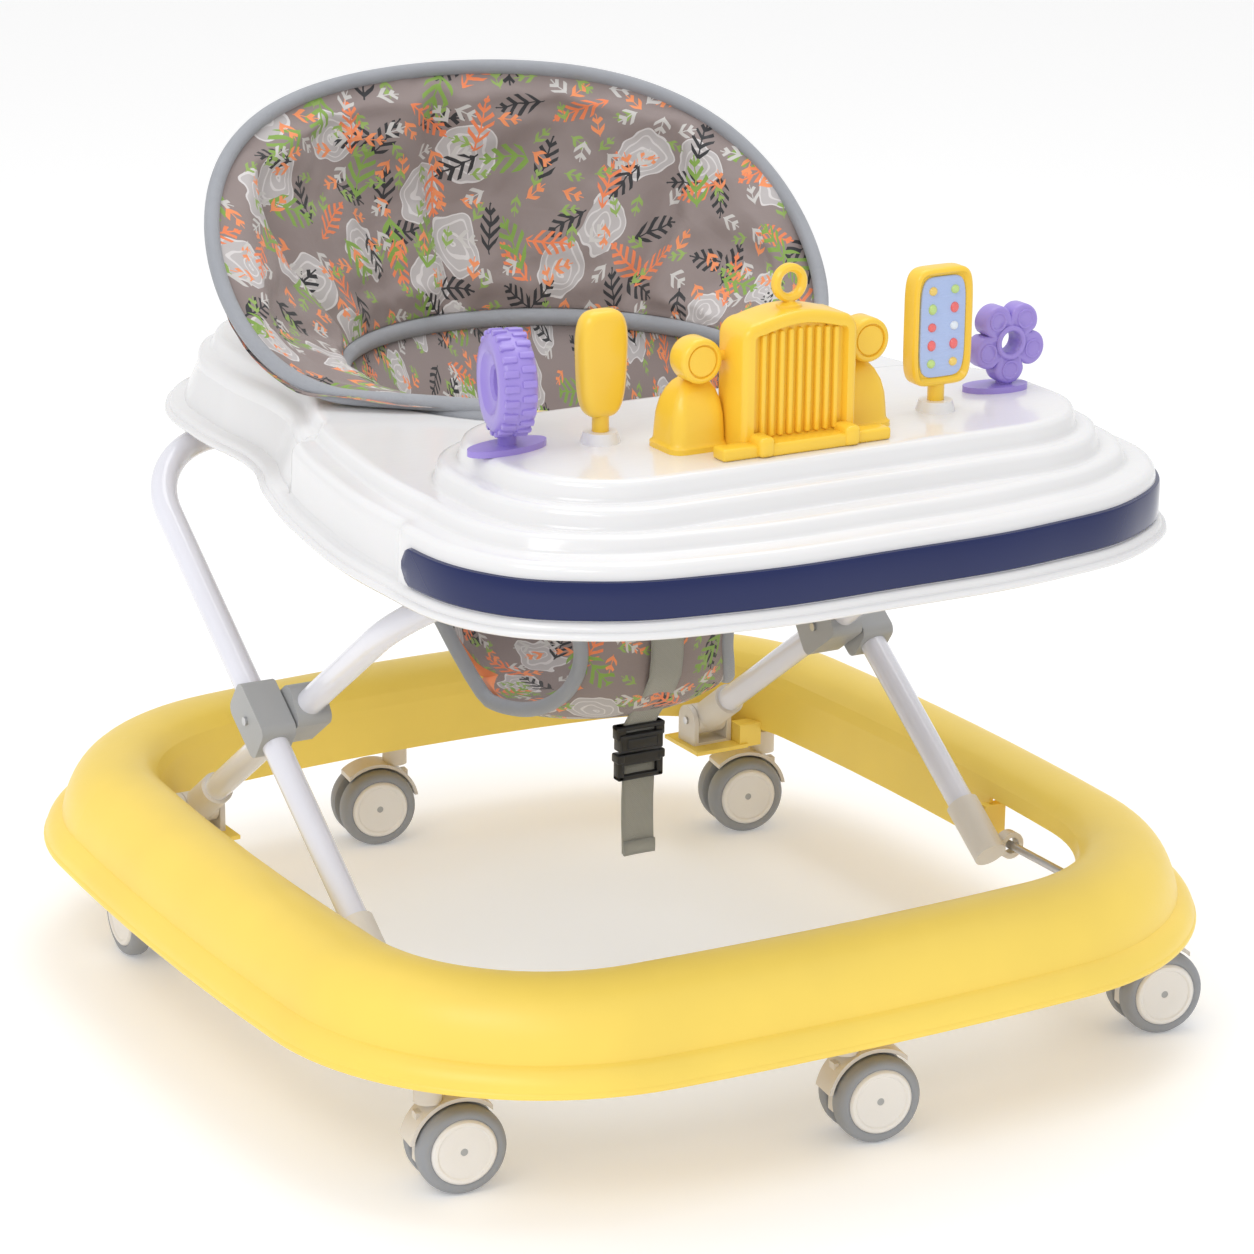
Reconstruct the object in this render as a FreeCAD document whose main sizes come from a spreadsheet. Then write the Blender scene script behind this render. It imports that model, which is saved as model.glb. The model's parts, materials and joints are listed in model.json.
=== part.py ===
import FreeCAD, Part
import math
import os
import re

from FreeCAD import Placement, Rotation, Vector
import Sketcher

# Baby walker: a yellow floor ring on six twin-wheel casters, two U-shaped steel
# tubes crossed as scissors, and a toy tray with a padded seat hanging in it.
# Millimetres. +Z up, the toys at -Y, the origin on the floor under the middle
# of the ring.

doc = FreeCAD.newDocument("baby_walker")
sheet = doc.addObject("Spreadsheet::Sheet", "Sizes")

SIZES = dict(
    # floor ring: plan outline of tangent arcs, and the moulded section
    ring_width=700, ring_length=746, front_bulge=2700, rear_bulge=1400, side_bulge=2700,
    corner_radius=200, widest_back=16, ring_bottom=87, ring_height=60, ring_wide=86,
    ring_wall=3, boss_radius=11, boss_drop=4,
    # scissor geometry
    fold_angle=35.5, lower_arm=213, upper_arm=250, crossing_back=48, pivot_height=96,
    tube_diameter=19, tube_wall=1.5, outer_leg_side=243, inner_leg_side=216,
    outer_bend=65, inner_bend=105,
    # fits
    running_gap=0.05, part_gap=0.6, fabric_gap=2,
    # lower ends of the tubes, rails and brackets
    socket_radius=12, socket_length=44, shoe_length=46, pin_diameter=6, rod_diameter=6,
    rod_side=262, eye_radius=10, eye_hole_radius=6, eye_width=8, rod_front=-226, rod_back=-104,
    recess_top=122, bracket_wall=4, bracket_plate=2, ledge_thick=3, ledge_drop=9,
    # crossing clamps
    clamp_wall=3.2, clamp_length=48, clamp_height=31,
    # casters
    wheel_diameter=60, tyre_width=14, disc_diameter=44.6, disc_proud=1, web_thick=8,
    wheel_gap=1, axle_diameter=5, trail_length=18, stem_diameter=8, stem_length=26,
    neck_radius=9.5, guard_thick=2.6, guard_gap=1.6, guard_width=22, under_ring_gap=4,
    # tray
    tray_lip=378, tray_wall=3, lip_wide=8, lip_thick=3.5, tray_rim=424, step_rise=11,
    step_in=27, deck_height=462, terrace_in=16, well_width=318, well_length=326,
    well_back=76, trim_height=25, trim_thick=2, trim_bottom=389,
    saddle_side=84, saddle_width=22, saddle_wall=6, track_slide=88,
    # seat
    seat_thick=7, back_thick=22, back_foot=438, rim_width=464, rim_length=290, rim_back=122,
    rim_top=614, rim_fall=56, rim_fall_two=72, rim_fall_four=16, rim_turn=128, binding_radius=5,
    sling_bottom=212, sling_middle=246, sling_top=431, sling_floor_width=130, sling_floor_length=100,
    sling_low_width=204, sling_low_length=166, sling_low_back=10, leg_hole_radius=50,
    leg_hole_height=270, leg_hole_side=68, leg_hole_back=56,
    # crotch strap and buckle
    strap_width=25, strap_thick=2, strap_front=-46, strap_low=108, strap_top=296, strap_out=-82,
    strap_turn=248, buckle_width=38,
    buckle_top=206, buckle_split=186, buckle_low=166, buckle_thick=11,
    # toys
    tyre_toy_side=188, tyre_toy_front=-200, pill_side=126, pill_front=-209, panel_side=107,
    panel_front=-240, flower_side=179, flower_front=-214, plate_shift=-7, post_radius=5.5,
    collar_radius=13, collar_height=7, plate_thick=4, neck_rise=10, tyre_toy_radius=34,
    tyre_toy_width=25, tyre_toy_bore=10, tyre_toy_turn=-12.5, pill_wide=34, pill_tall=68, pill_thick=16,
    panel_wide=46,
    panel_tall=78, panel_thick=15, panel_frame=6, panel_recess=3, flower_radius=15,
    flower_reach=16, flower_thick=16, flower_hole_radius=8, flower_drop=5,
    car_middle=-22, car_front=-280, grille_wide=84, grille_tall=88, grille_deep=34, slat_count=9,
    slat_depth=4, fender_wide=40, fender_tall=46, fender_deep=38, fender_back=16, lamp_radius=14.5,
    lamp_deep=18, bumper_tall=12, bumper_deep=12, bumper_wide=124, ornament_radius=10,
    ornament_wire=2.6,
)
for row, (word, number) in enumerate(SIZES.items(), 1):
    sheet.set(f"A{row}", word)
    sheet.set(f"B{row}", str(number))
    sheet.setAlias(f"B{row}", word)
doc.recompute()


def size(word):
    return float(sheet.get(word))


def bind(obj, prop, text):
    """Bind a property to a formula in the sheet's words."""
    obj.setExpression(prop, re.sub(r"\b([a-z]+(?:_[a-z]+)+)\b", r"Sizes.\1", text))


def part(kind, name, at=("0", "0", "0"), turn=None, **sizes):
    """A Part primitive whose sizes and place are bound to the sheet."""
    obj = doc.addObject(f"Part::{kind}", name)
    for prop, text in sizes.items():
        bind(obj, prop, text)
    if turn:
        obj.Placement = Placement(Vector(), Rotation(Vector(*turn[:3]), turn[3]))
    for axis, text in zip("xyz", at):
        bind(obj, f"Placement.Base.{axis}", text)
    return obj


def cut(name, base, tool):
    obj = doc.addObject("Part::Cut", name)
    obj.Base = base
    obj.Tool = tool
    return obj


def join(name, *pieces):
    obj = doc.addObject("Part::MultiFuse", name)
    obj.Shapes = list(pieces)
    return obj


def common(name, *pieces):
    obj = doc.addObject("Part::MultiCommon", name)
    obj.Shapes = list(pieces)
    return obj


NODES = []


def node(name, source, placement=None):
    """Finish a sub-part: an object keeps its own shape, a shape gets a feature."""
    obj = source
    if isinstance(source, Part.Shape):
        obj = doc.addObject("Part::Feature", name)
        obj.Shape = source
        if placement:
            obj.Placement = placement
    obj.Label = name
    NODES.append(obj)
    return obj


def both_sides(shape):
    """The piece and its mirror image on the other side of the walker."""
    return Part.makeCompound([shape, shape.mirror(Vector(), Vector(1, 0, 0))])


def plane(body, role):
    return next(item for item in body.Origin.OriginFeatures if item.Role == role)


def sketch(body, name, role, offset=None):
    obj = body.newObject("Sketcher::SketchObject", name)
    obj.AttachmentSupport = [(plane(body, role), "")]
    obj.MapMode = "FlatFace"
    if offset:
        bind(obj, "AttachmentOffset.Base.z", offset)
    return obj


def polygon(drawing, corners):
    """A closed outline whose corners are formulas; it is drawn round a circle first."""
    count = len(corners)
    rough = [Vector(math.cos(math.tau * i / count), math.sin(math.tau * i / count), 0) * 40
             for i in range(count)]
    for i in range(count):
        drawing.addGeometry(Part.LineSegment(rough[i], rough[(i + 1) % count]))
    for i in range(count):
        drawing.addConstraint(Sketcher.Constraint("Coincident", i, 2, (i + 1) % count, 1))
    for i, pair in enumerate(corners):
        for kind, text, axis in zip(("DistanceX", "DistanceY"), pair, (-2, -1)):
            if text == "0":
                drawing.addConstraint(Sketcher.Constraint("PointOnObject", i, 1, axis))
                continue
            drawing.addConstraint(Sketcher.Constraint(kind, -1, 1, i, 1, 1.0))
            place = drawing.ConstraintCount - 1
            drawing.renameConstraint(place, f"{kind[-1].lower()}{i}")
            bind(drawing, f"Constraints.{kind[-1].lower()}{i}", text)


def revolved(name, corners):
    """A turned piece: the outline's second number is along the axis, local Z."""
    body = doc.addObject("PartDesign::Body", name)
    outline = sketch(body, f"{name}_profile", "XZ_Plane")
    polygon(outline, corners)
    turned = body.newObject("PartDesign::Revolution", f"{name}_turned")
    turned.Profile = outline
    turned.ReferenceAxis = (outline, ["V_Axis"])
    turned.Angle = 360
    doc.recompute()
    return body


# ---------------------------------------------------------------- floor ring

def unit(vector):
    return Vector(vector).normalize()


def outline_arcs(inset):
    """The ring's plan outline as eight tangent arcs, moved inwards by inset."""
    half, front = size("ring_width") / 2, -size("ring_length") / 2
    side = Vector(half - size("side_bulge"), -size("widest_back"), 0)
    ends = [(Vector(0, front + size("front_bulge"), 0), size("front_bulge"), -1),
            (Vector(0, -front - size("rear_bulge"), 0), size("rear_bulge"), 1)]
    corner = size("corner_radius")
    centres = []
    for middle, bulge, way in ends:
        reach, span = bulge - corner, size("side_bulge") - corner
        line = side - middle
        along = (reach ** 2 - span ** 2 + line.Length ** 2) / (2 * line.Length)
        off = math.sqrt(reach ** 2 - along ** 2)
        across = Vector(-line.y, line.x, 0).normalize()
        choices = [middle + unit(line) * along + across * off * s for s in (1, -1)]
        centres.append(max(choices, key=lambda c: c.x + way * c.y))
    half_arcs = []
    for (middle, bulge, way), centre in zip(ends, centres):
        tip = middle + Vector(0, way * (bulge - inset), 0)
        turn_in = middle + unit(centre - middle) * (bulge - inset)
        turn_out = side + unit(centre - side) * (size("side_bulge") - inset)
        between = unit((turn_in - centre) + (turn_out - centre)) * (corner - inset)
        half_arcs.append((tip, turn_in, centre + between, turn_out, middle, bulge - inset))
    (tip, f1, fm, f2, fc, fr), (rear_tip, r1, rm, r2, rc, rr) = half_arcs
    side_mid = side + Vector(size("side_bulge") - inset, 0, 0)
    front_mid = fc + unit((tip - fc) + (f1 - fc)) * fr
    rear_mid = rc + unit((rear_tip - rc) + (r1 - rc)) * rr
    right = [(tip, front_mid, f1), (f1, fm, f2), (f2, side_mid, r2), (r2, rm, r1),
             (r1, rear_mid, rear_tip)]
    flip = lambda p: Vector(-p.x, p.y, p.z)
    left = [(flip(c), flip(b), flip(a)) for a, b, c in reversed(right)]
    return [Part.Arc(*points).toShape() for points in right + left]


def section(inset):
    """Moulded section as a face: lip, bead, groove, crown and inner wall."""
    wide, tall = size("ring_wide"), size("ring_height")
    low = size("ring_bottom")
    lip = [(0, 0), (-0.4, 2), (0.8, 4)]
    band = [(0.8, 4), (4.8, 12.5), (13, 17.5)]
    crown = [(13, 17.5), (16.5, tall * 0.5), (25, tall * 0.76), (40, tall * 0.95), (56, tall),
             (wide - 16, tall * 0.96), (wide - 4, tall * 0.76)]
    foot = [(wide - 4, tall * 0.76), (wide - 2, tall * 0.6), (wide, 0)]
    scale_in = lambda d: inset + d * (wide - 2 * inset) / wide
    drop = inset if inset else 0
    place = lambda p: Vector(0, scale_in(p[0]) - size("ring_length") / 2, low + p[1] - drop)
    curve = Part.BSplineCurve()
    curve.interpolate([place(p) for p in crown])
    edges = [Part.Arc(*[place(p) for p in points]).toShape() for points in (lip, band)]
    edges += [curve.toShape()]
    edges += [Part.LineSegment(place(a), place(b)).toShape() for a, b in zip(foot, foot[1:])]
    edges += [Part.LineSegment(place(foot[-1]), place(lip[0])).toShape()]
    return Part.Wire(edges)


def ring_solid(inset):
    path = Part.Wire(outline_arcs(0))
    sweep = Part.BRepOffsetAPI.MakePipeShell(path)
    sweep.setBiNormalMode(Vector(0, 0, 1))
    sweep.add(section(inset))
    sweep.build()
    sweep.makeSolid()
    return sweep.shape()


def caster_stems():
    """Where the six casters stand, and how each is turned: x, y, degrees."""
    return [(-275, -258, -8), (0, -318, -8), (275, -258, -10),
            (-268, 220, -92), (0, 330, 172), (268, 220, 170)]


def rest_y(arm):
    return arm * math.cos(math.radians(size("fold_angle")))


def pivot_back():
    """The rear pivots lie one lower arm behind the crossing."""
    return size("crossing_back") + rest_y(size("lower_arm"))


def base_ring():
    outer, low = ring_solid(0), size("ring_bottom")
    shell = outer.cut(ring_solid(size("ring_wall")))
    boss_low = low - size("boss_drop")
    for x, y, _ in caster_stems():
        boss = Part.makeCylinder(size("boss_radius"), size("ring_height") + 1, Vector(x, y, low - 1))
        shell = shell.fuse(boss.common(outer))
        shell = shell.fuse(Part.makeCylinder(size("boss_radius"), size("boss_drop") + 2,
                                             Vector(x, y, boss_low)))
        shell = shell.cut(Part.makeCylinder(size("stem_diameter") / 2, size("stem_length"),
                                            Vector(x, y, boss_low - 1)))
    shell = shell.cut(both_sides(recess_box()))
    shell = shell.fuse(both_sides(rail_ends()))
    shell = shell.fuse(both_sides(corner_ledge()))
    rods = both_sides(rail_rod(size("running_gap")))
    return shell.cut(rods).removeSplitter()


def recess_box():
    """Window in each side wall, where the front shoes run along their rods."""
    front, back = size("rod_front") - 6, size("rod_back") + 8
    inner = size("ring_width") / 2 - size("ring_wide")
    start = inner - 26
    return Part.makeBox(48, back - front, size("recess_top") - size("ring_bottom") + 10,
                        Vector(start, front, size("ring_bottom") - 10))


def rail_ends():
    """Lugs at both ends of the window hold the rod."""
    lugs = []
    outer = size("rod_side") + 14
    starts = (size("rod_side") - 24, size("rod_side") - size("rod_diameter") / 2 - 0.8)
    for x, y in zip(starts, (size("rod_front") - 12, size("rod_back") + 4)):
        lugs.append(Part.makeBox(outer - x, 8, 30, Vector(x, y, size("ring_bottom"))))
    return lugs[0].fuse(lugs[1])


def rail_rod(extra):
    length = size("rod_back") - size("rod_front") + 16
    start = Vector(size("rod_side"), size("rod_front") - 8, size("pivot_height"))
    return Part.makeCylinder(size("rod_diameter") / 2 + extra, length, start, Vector(0, 1, 0))


def corner_ledge():
    """Ledge in each rear corner that carries a pivot bracket."""
    top, thick = size("ring_bottom") - size("ledge_drop"), size("ledge_thick")
    x, y = size("inner_leg_side"), pivot_back()
    plate = Part.makeBox(46, 50, thick, Vector(x - 22, y - 26, top - thick))
    outer = x + size("socket_radius") + size("part_gap") + size("bracket_wall") + 1
    riser = Part.makeBox(19, 14, size("ledge_drop") + thick + 6, Vector(outer, y - 24, top - thick))
    return plate.fuse(riser)


def side_hardware():
    node("rail_rods", both_sides(rail_rod(0)))
    x, y, z = size("inner_leg_side"), pivot_back(), size("pivot_height")
    top = size("ring_bottom") - size("ledge_drop")
    ear_in = size("socket_radius") + size("part_gap")
    wall, plate = size("bracket_wall"), size("bracket_plate")
    length = 2 * size("socket_radius")
    bracket = Part.makeBox(2 * (ear_in + wall), length, plate,
                           Vector(x - ear_in - wall, y - length / 2, top))
    for side in (-1, 1):
        low_x = x + ear_in if side > 0 else x - ear_in - wall
        ear = Part.makeBox(wall, length, z - top, Vector(low_x, y - length / 2, top))
        tip = Part.makeCylinder(length / 2, wall, Vector(low_x, y, z), Vector(1, 0, 0))
        bracket = bracket.fuse(ear).fuse(tip)
    pin = Part.makeCylinder(size("pin_diameter") / 2, 2 * (ear_in + wall) + 3,
                            Vector(x - ear_in - wall - 1.5, y, z), Vector(1, 0, 0))
    node("pivot_brackets", both_sides(bracket.cut(pin).removeSplitter()))
    node("pivot_pins", both_sides(pin))


# ------------------------------------------------------------------ casters

def tyre_master():
    """One tyre; local Z is the axle, the tyre's inner face at Z = 0."""
    body = revolved("tyre_pattern", [("disc_diameter / 2", "0"), ("wheel_diameter / 2 - 4", "0"),
                                     ("wheel_diameter / 2 - 1", "1.5"),
                                     ("wheel_diameter / 2", "4"),
                                     ("wheel_diameter / 2", "tyre_width - 5"),
                                     ("wheel_diameter / 2 - 2", "tyre_width - 1.5"),
                                     ("wheel_diameter / 2 - 5", "tyre_width"),
                                     ("disc_diameter / 2", "tyre_width")])
    return body


def disc_master():
    """One wheel disc inside its tyre, with the axle's blind bore."""
    proud = "tyre_width + disc_proud"
    return revolved("disc_pattern", [("axle_diameter / 2", "0"), ("disc_diameter / 2", "0"),
                                     ("disc_diameter / 2", "tyre_width"),
                                     ("disc_diameter / 2 - 2", proud),
                                     ("axle_diameter / 2 + 3", proud),
                                     ("axle_diameter / 2 + 3", "tyre_width - 1"),
                                     ("axle_diameter / 2", "tyre_width - 1")])


def hood_master():
    """Hood over the twin wheels; the swivel axis is local Z, the wheels trail along X."""
    top = "ring_bottom - boss_drop - under_ring_gap"
    reach = "wheel_diameter / 2 + guard_gap + guard_thick"
    neck = part("Cylinder", "hood_neck", at=("0", "0", "wheel_diameter + 1"),
                Radius="neck_radius", Height=f"{top} - wheel_diameter - 1")
    web = part("Box", "hood_web", at=("-neck_radius", "-web_thick / 2", "wheel_diameter / 2 - 9"),
               Length="trail_length + neck_radius + 9", Width="web_thick", Height="34")
    guard = part("Cylinder", "hood_guard", turn=(1, 0, 0, 90),
                 at=("trail_length", "guard_width / 2", "wheel_diameter / 2"),
                 Radius=reach, Height="guard_width")
    inside = part("Cylinder", "hood_inside", turn=(1, 0, 0, 90),
                  at=("trail_length", "guard_width", "wheel_diameter / 2"),
                  Radius="wheel_diameter / 2 + guard_gap", Height="2 * guard_width")
    keep = part("Box", "hood_keep", at=("trail_length - 40", "-guard_width", "wheel_diameter / 2 + 6"),
                Length="62", Width="2 * guard_width", Height="40")
    shell = common("hood_shell", cut("hood_arch", guard, inside), keep)
    whole = join("hood_whole", neck, web, shell)
    axle = part("Cylinder", "hood_axle_bore", turn=(1, 0, 0, 90),
                at=("trail_length", "web_thick", "wheel_diameter / 2"),
                Radius="axle_diameter / 2 + running_gap", Height="2 * web_thick")
    drilled = cut("hood_drilled", whole, axle)
    stem = part("Cylinder", "stem_pattern", at=("0", "0", top + " - 12"),
                Radius="stem_diameter / 2", Height="stem_length")
    socket = part("Cylinder", "stem_socket", at=("0", "0", top + " - 12 - running_gap"),
                  Radius="stem_diameter / 2 + running_gap", Height="stem_length")
    return cut("hood_pattern", drilled, socket), stem


def caster_set():
    tyre, disc = tyre_master(), disc_master()
    hood, stem = hood_master()
    doc.recompute()
    radius, trail = size("wheel_diameter") / 2, size("trail_length")
    inner = size("web_thick") / 2 + size("wheel_gap")

    def pair(shape):
        """Both wheels of a caster, one turned to each side of the web."""
        sides = []
        for way in (1, -1):
            piece = shape.copy()
            piece.Placement = Placement(Vector(trail, -way * inner, radius),
                                        Rotation(Vector(1, 0, 0), way * 90))
            sides.append(piece)
        return Part.makeCompound(sides)

    half = inner + size("tyre_width") - 1
    axle = Part.makeCylinder(size("axle_diameter") / 2, 2 * half, Vector(trail, -half, radius),
                             Vector(0, 1, 0))
    pieces = {"hood": hood.Shape, "axle": axle, "tyres": pair(tyre.Shape),
              "discs": pair(disc.Shape)}
    for number, (x, y, turned) in enumerate(caster_stems(), 1):
        place = Placement(Vector(x, y, 0), Rotation(Vector(0, 0, 1), turned))
        for name, shape in pieces.items():
            node(f"caster_{name}_{number}", shape, place)
    node("caster_stems", Part.makeCompound([stem.Shape.translated(Vector(x, y, 0))
                                            for x, y, _ in caster_stems()]))


# ------------------------------------------------------------ scissor tubes

def leg_tube(name, side, bend):
    """U-shaped tube in its own plane: the crossing at the origin, the top bar at +Y."""
    body = doc.addObject("PartDesign::Body", name)
    path = sketch(body, f"{name}_path", "XY_Plane")
    a, r = size(side), size(bend)
    low, top = -size("lower_arm"), size("upper_arm")
    right, up = Vector(1, 0, 0), Vector(0, 1, 0)
    path.addGeometry(Part.LineSegment(right * -a + up * low, right * -a + up * (top - r)))
    path.addGeometry(Part.ArcOfCircle(Part.Circle(Vector(r - a, top - r, 0), Vector(0, 0, 1), r),
                                      math.pi / 2, math.pi))
    path.addGeometry(Part.LineSegment(Vector(r - a, top, 0), Vector(a - r, top, 0)))
    path.addGeometry(Part.ArcOfCircle(Part.Circle(Vector(a - r, top - r, 0), Vector(0, 0, 1), r),
                                      0, math.pi / 2))
    path.addGeometry(Part.LineSegment(Vector(a, top - r, 0), Vector(a, low, 0)))
    for first, end, second, start in ((0, 2, 1, 2), (1, 1, 2, 1), (2, 2, 3, 2), (3, 1, 4, 1)):
        path.addConstraint(Sketcher.Constraint("Tangent", first, end, second, start))
    path.addConstraint(Sketcher.Constraint("Vertical", 0))
    path.addConstraint(Sketcher.Constraint("Vertical", 4))
    path.addConstraint(Sketcher.Constraint("Horizontal", 2))
    formulas = [("Radius", (1,), bend), ("Radius", (3,), bend),
                ("DistanceX", (-1, 1, 0, 1), f"-{side}"), ("DistanceY", (-1, 1, 0, 1), "-lower_arm"),
                ("DistanceX", (-1, 1, 4, 2), side), ("DistanceY", (-1, 1, 4, 2), "-lower_arm"),
                ("DistanceY", (-1, 1, 2, 1), "upper_arm")]
    for i, (kind, where, text) in enumerate(formulas):
        start = {"Radius": r}.get(kind, 1.0)
        if kind != "Radius":
            vertex = path.getPoint(*where[2:])
            start = vertex.x if kind == "DistanceX" else vertex.y
        path.addConstraint(Sketcher.Constraint(kind, *where, start))
        path.renameConstraint(path.ConstraintCount - 1, f"size_{chr(97 + i)}")
        bind(path, f"Constraints.size_{chr(97 + i)}", text)
    ring = sketch(body, f"{name}_section", "XZ_Plane", "lower_arm")
    for i, text in enumerate(("tube_diameter / 2", "tube_diameter / 2 - tube_wall")):
        ring.addGeometry(Part.Circle(Vector(-a, 0, 0), Vector(0, 0, 1), 9.5 - 2 * i))
        ring.addConstraint(Sketcher.Constraint("PointOnObject", i, 3, -1))
        ring.addConstraint(Sketcher.Constraint("DistanceX", -1, 1, i, 3, -a))
        ring.renameConstraint(ring.ConstraintCount - 1, f"side_{'ab'[i]}")
        bind(ring, f"Constraints.side_{'ab'[i]}", f"-{side}")
        ring.addConstraint(Sketcher.Constraint("Radius", i, 9.5 - 2 * i))
        ring.renameConstraint(ring.ConstraintCount - 1, f"radius_{'ab'[i]}")
        bind(ring, f"Constraints.radius_{'ab'[i]}", text)
    pipe = body.newObject("PartDesign::AdditivePipe", f"{name}_pipe")
    pipe.Profile = ring
    pipe.Spine = path
    doc.recompute()
    return body


def leg_place(way):
    """Stand a flat scissor piece up: way 1 leans back, way -1 leans forward."""
    angle = size("fold_angle") if way > 0 else 180 - size("fold_angle")
    return Placement(Vector(0, size("crossing_back"), crossing_height()),
                     Rotation(Vector(1, 0, 0), angle))


def crossing_height():
    return size("pivot_height") + size("lower_arm") * math.sin(math.radians(size("fold_angle")))


def cross_screw(extra):
    """Screw through both clamps of the right-hand crossing, along X."""
    start = size("inner_leg_side") - size("tube_diameter") / 2 - size("clamp_wall") - 2
    end = size("outer_leg_side") + size("tube_diameter") / 2 + size("clamp_wall") + 2
    return Part.makeCylinder(size("pin_diameter") / 2 + extra, end - start,
                             Vector(start, 0, 0), Vector(1, 0, 0))


def clamp(side):
    """Moulded clamp round a tube at the crossing, along local Y."""
    deep = size("tube_diameter") + 2 * size("clamp_wall")
    long, tall = size("clamp_length"), size("clamp_height")
    block = Part.makeBox(deep, long, tall, Vector(side - deep / 2, -long / 2, -tall / 2))
    edges = [e for e in block.Edges if abs(abs(e.tangentAt(0).x) - 1) < 0.01]
    return block.makeFillet(7, edges)


def tube_plug(side, grow):
    """The straight stretch of a leg that a moulding wraps, a little longer than it."""
    long = size("lower_arm") + size("upper_arm") / 2
    return Part.makeCylinder(size("tube_diameter") / 2 + grow, long,
                             Vector(side, -size("lower_arm"), 0), Vector(0, 1, 0))


def scissor():
    for way, name, side, bend, gap in ((1, "outer", "outer_leg_side", "outer_bend", 0),
                                       (-1, "inner", "inner_leg_side", "inner_bend",
                                        size("running_gap"))):
        tube = leg_tube(f"{name}_tube_pattern", side, bend)
        place = leg_place(way)
        screws = both_sides(cross_screw(gap))
        x = size(side)
        shape = tube.Shape.cut(screws)
        end = Part.makeCylinder(size("pin_diameter") / 2 + size("running_gap"), 60,
                                Vector(x - 30, -size("lower_arm"), 0), Vector(1, 0, 0))
        if way < 0:
            shape = shape.cut(both_sides(end))
        node(f"{name}_leg_tube", shape, place)
        block = clamp(x).cut(tube_plug(x, 0)).cut(cross_screw(gap))
        node(f"{name}_clamps", both_sides(block), place)
        fitting = front_shoe(x) if way > 0 else rear_socket(x).cut(end)
        node("front_shoes" if way > 0 else "rear_sockets", both_sides(fitting), place)
    node("crossing_screws", both_sides(cross_screw(0)), leg_place(1))


def rear_socket(x):
    """Moulded end of an inner leg, drilled for its pivot pin."""
    low, radius = -size("lower_arm"), size("socket_radius")
    sleeve = Part.makeCylinder(radius, size("socket_length"), Vector(x, low, 0), Vector(0, 1, 0))
    eye = Part.makeCylinder(radius, 2 * radius, Vector(x - radius, low, 0), Vector(1, 0, 0))
    return sleeve.fuse(eye).cut(tube_plug(x, 0)).removeSplitter()


def front_shoe(x):
    """Moulded end of an outer leg; its eye runs along the rod with room to tilt."""
    low, radius = -size("lower_arm"), size("socket_radius")
    sleeve = Part.makeCylinder(radius, size("shoe_length"), Vector(x, low - 6, 0), Vector(0, 1, 0))
    shoe = sleeve.cut(tube_plug(x, 0))
    lean = Rotation(Vector(1, 0, 0), -size("fold_angle"))
    along = lean.multVec(Vector(0, 1, 0))
    middle = Vector(size("rod_side"), low, 0)
    half = size("eye_width") / 2
    eye = Part.makeCylinder(size("eye_radius"), 2 * half, middle - along * half, along)
    hole = Part.makeCylinder(size("eye_hole_radius"), 6 * half, middle - along * 3 * half, along)
    hollow = Part.makeCylinder(radius - 0.5, size("shoe_length"), Vector(x, low - 6, 0), Vector(0, 1, 0))
    return shoe.fuse(eye.cut(hollow)).cut(hole).removeSplitter()


# --------------------------------------------------------------------- tray

OUTLINE_STEPS = 60


def tray_outline(inset):
    """Plan outline of the tray: broad front, a waist each side, rounded rear lobes."""
    half = [(0, -372), (120, -367), (205, -343), (259, -291), (275, -190), (264, -50),
            (243, 42), (222, 110), (221, 205), (207, 285), (160, 346), (80, 370)]
    points = half + [(0, 373)] + [(-x, y) for x, y in reversed(half[1:])]
    curve = Part.BSplineCurve()
    curve.interpolate([Vector(x, y, 0) for x, y in points], PeriodicFlag=True)
    if inset:
        first, last = curve.FirstParameter, curve.LastParameter
        moved = []
        for i in range(OUTLINE_STEPS):
            at = first + (last - first) * i / OUTLINE_STEPS
            along = curve.tangent(at)[0]
            moved.append(curve.value(at) + Vector(-along.y, along.x, 0) * inset)
        curve = Part.BSplineCurve()
        curve.interpolate(moved, PeriodicFlag=True)
    return Part.Wire(curve.toShape())


def deck_outline(inset):
    """Plan outline of the raised toy deck, in front of the well."""
    half_x, half_y, middle = 226 - inset, 108 - inset, -212
    block = Part.makeBox(2 * half_x, 2 * half_y, 1, Vector(-half_x, middle - half_y, 0))
    corners = [e for e in block.Edges if abs(e.tangentAt(0).z) > 0.9]
    rounded = block.makeFillet(90 - inset, corners)
    low = min(rounded.Faces, key=lambda f: f.CenterOfMass.z)
    return low.OuterWire


def slab(wire, low, high):
    face = Part.Face(wire)
    return face.translated(Vector(0, 0, low)).extrude(Vector(0, 0, high - low))


def ellipse_post(width, length, back, low, high):
    """Upright elliptical solid, the shape of the seat well and what hangs in it."""
    middle = Vector(0, back, low)
    tips = [middle + Vector(width / 2, 0, 0), middle + Vector(0, length / 2, 0)]
    if length > width:
        tips = [tips[1], middle - Vector(width / 2, 0, 0)]
    curve = Part.Ellipse(*tips, middle)
    return Part.Face(Part.Wire(curve.toShape())).extrude(Vector(0, 0, high - low))


def tray_solid(wall):
    """Stacked steps of the tray; wall moves every face inwards."""
    lip, rim = size("tray_lip"), size("tray_rim")
    step, deck = rim + size("step_rise"), size("deck_height")
    middle = (step + deck) / 2
    low = lip - (1 if wall else 0)
    body = slab(tray_outline(size("lip_wide") + wall), low, rim - wall)
    body = body.fuse(slab(tray_outline(size("step_in") + wall), rim - wall - 1, step - wall))
    body = body.fuse(slab(deck_outline(wall), step - wall - 1, middle - wall))
    body = body.fuse(slab(deck_outline(size("terrace_in") + wall), middle - wall - 1, deck - wall))
    return body


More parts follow.
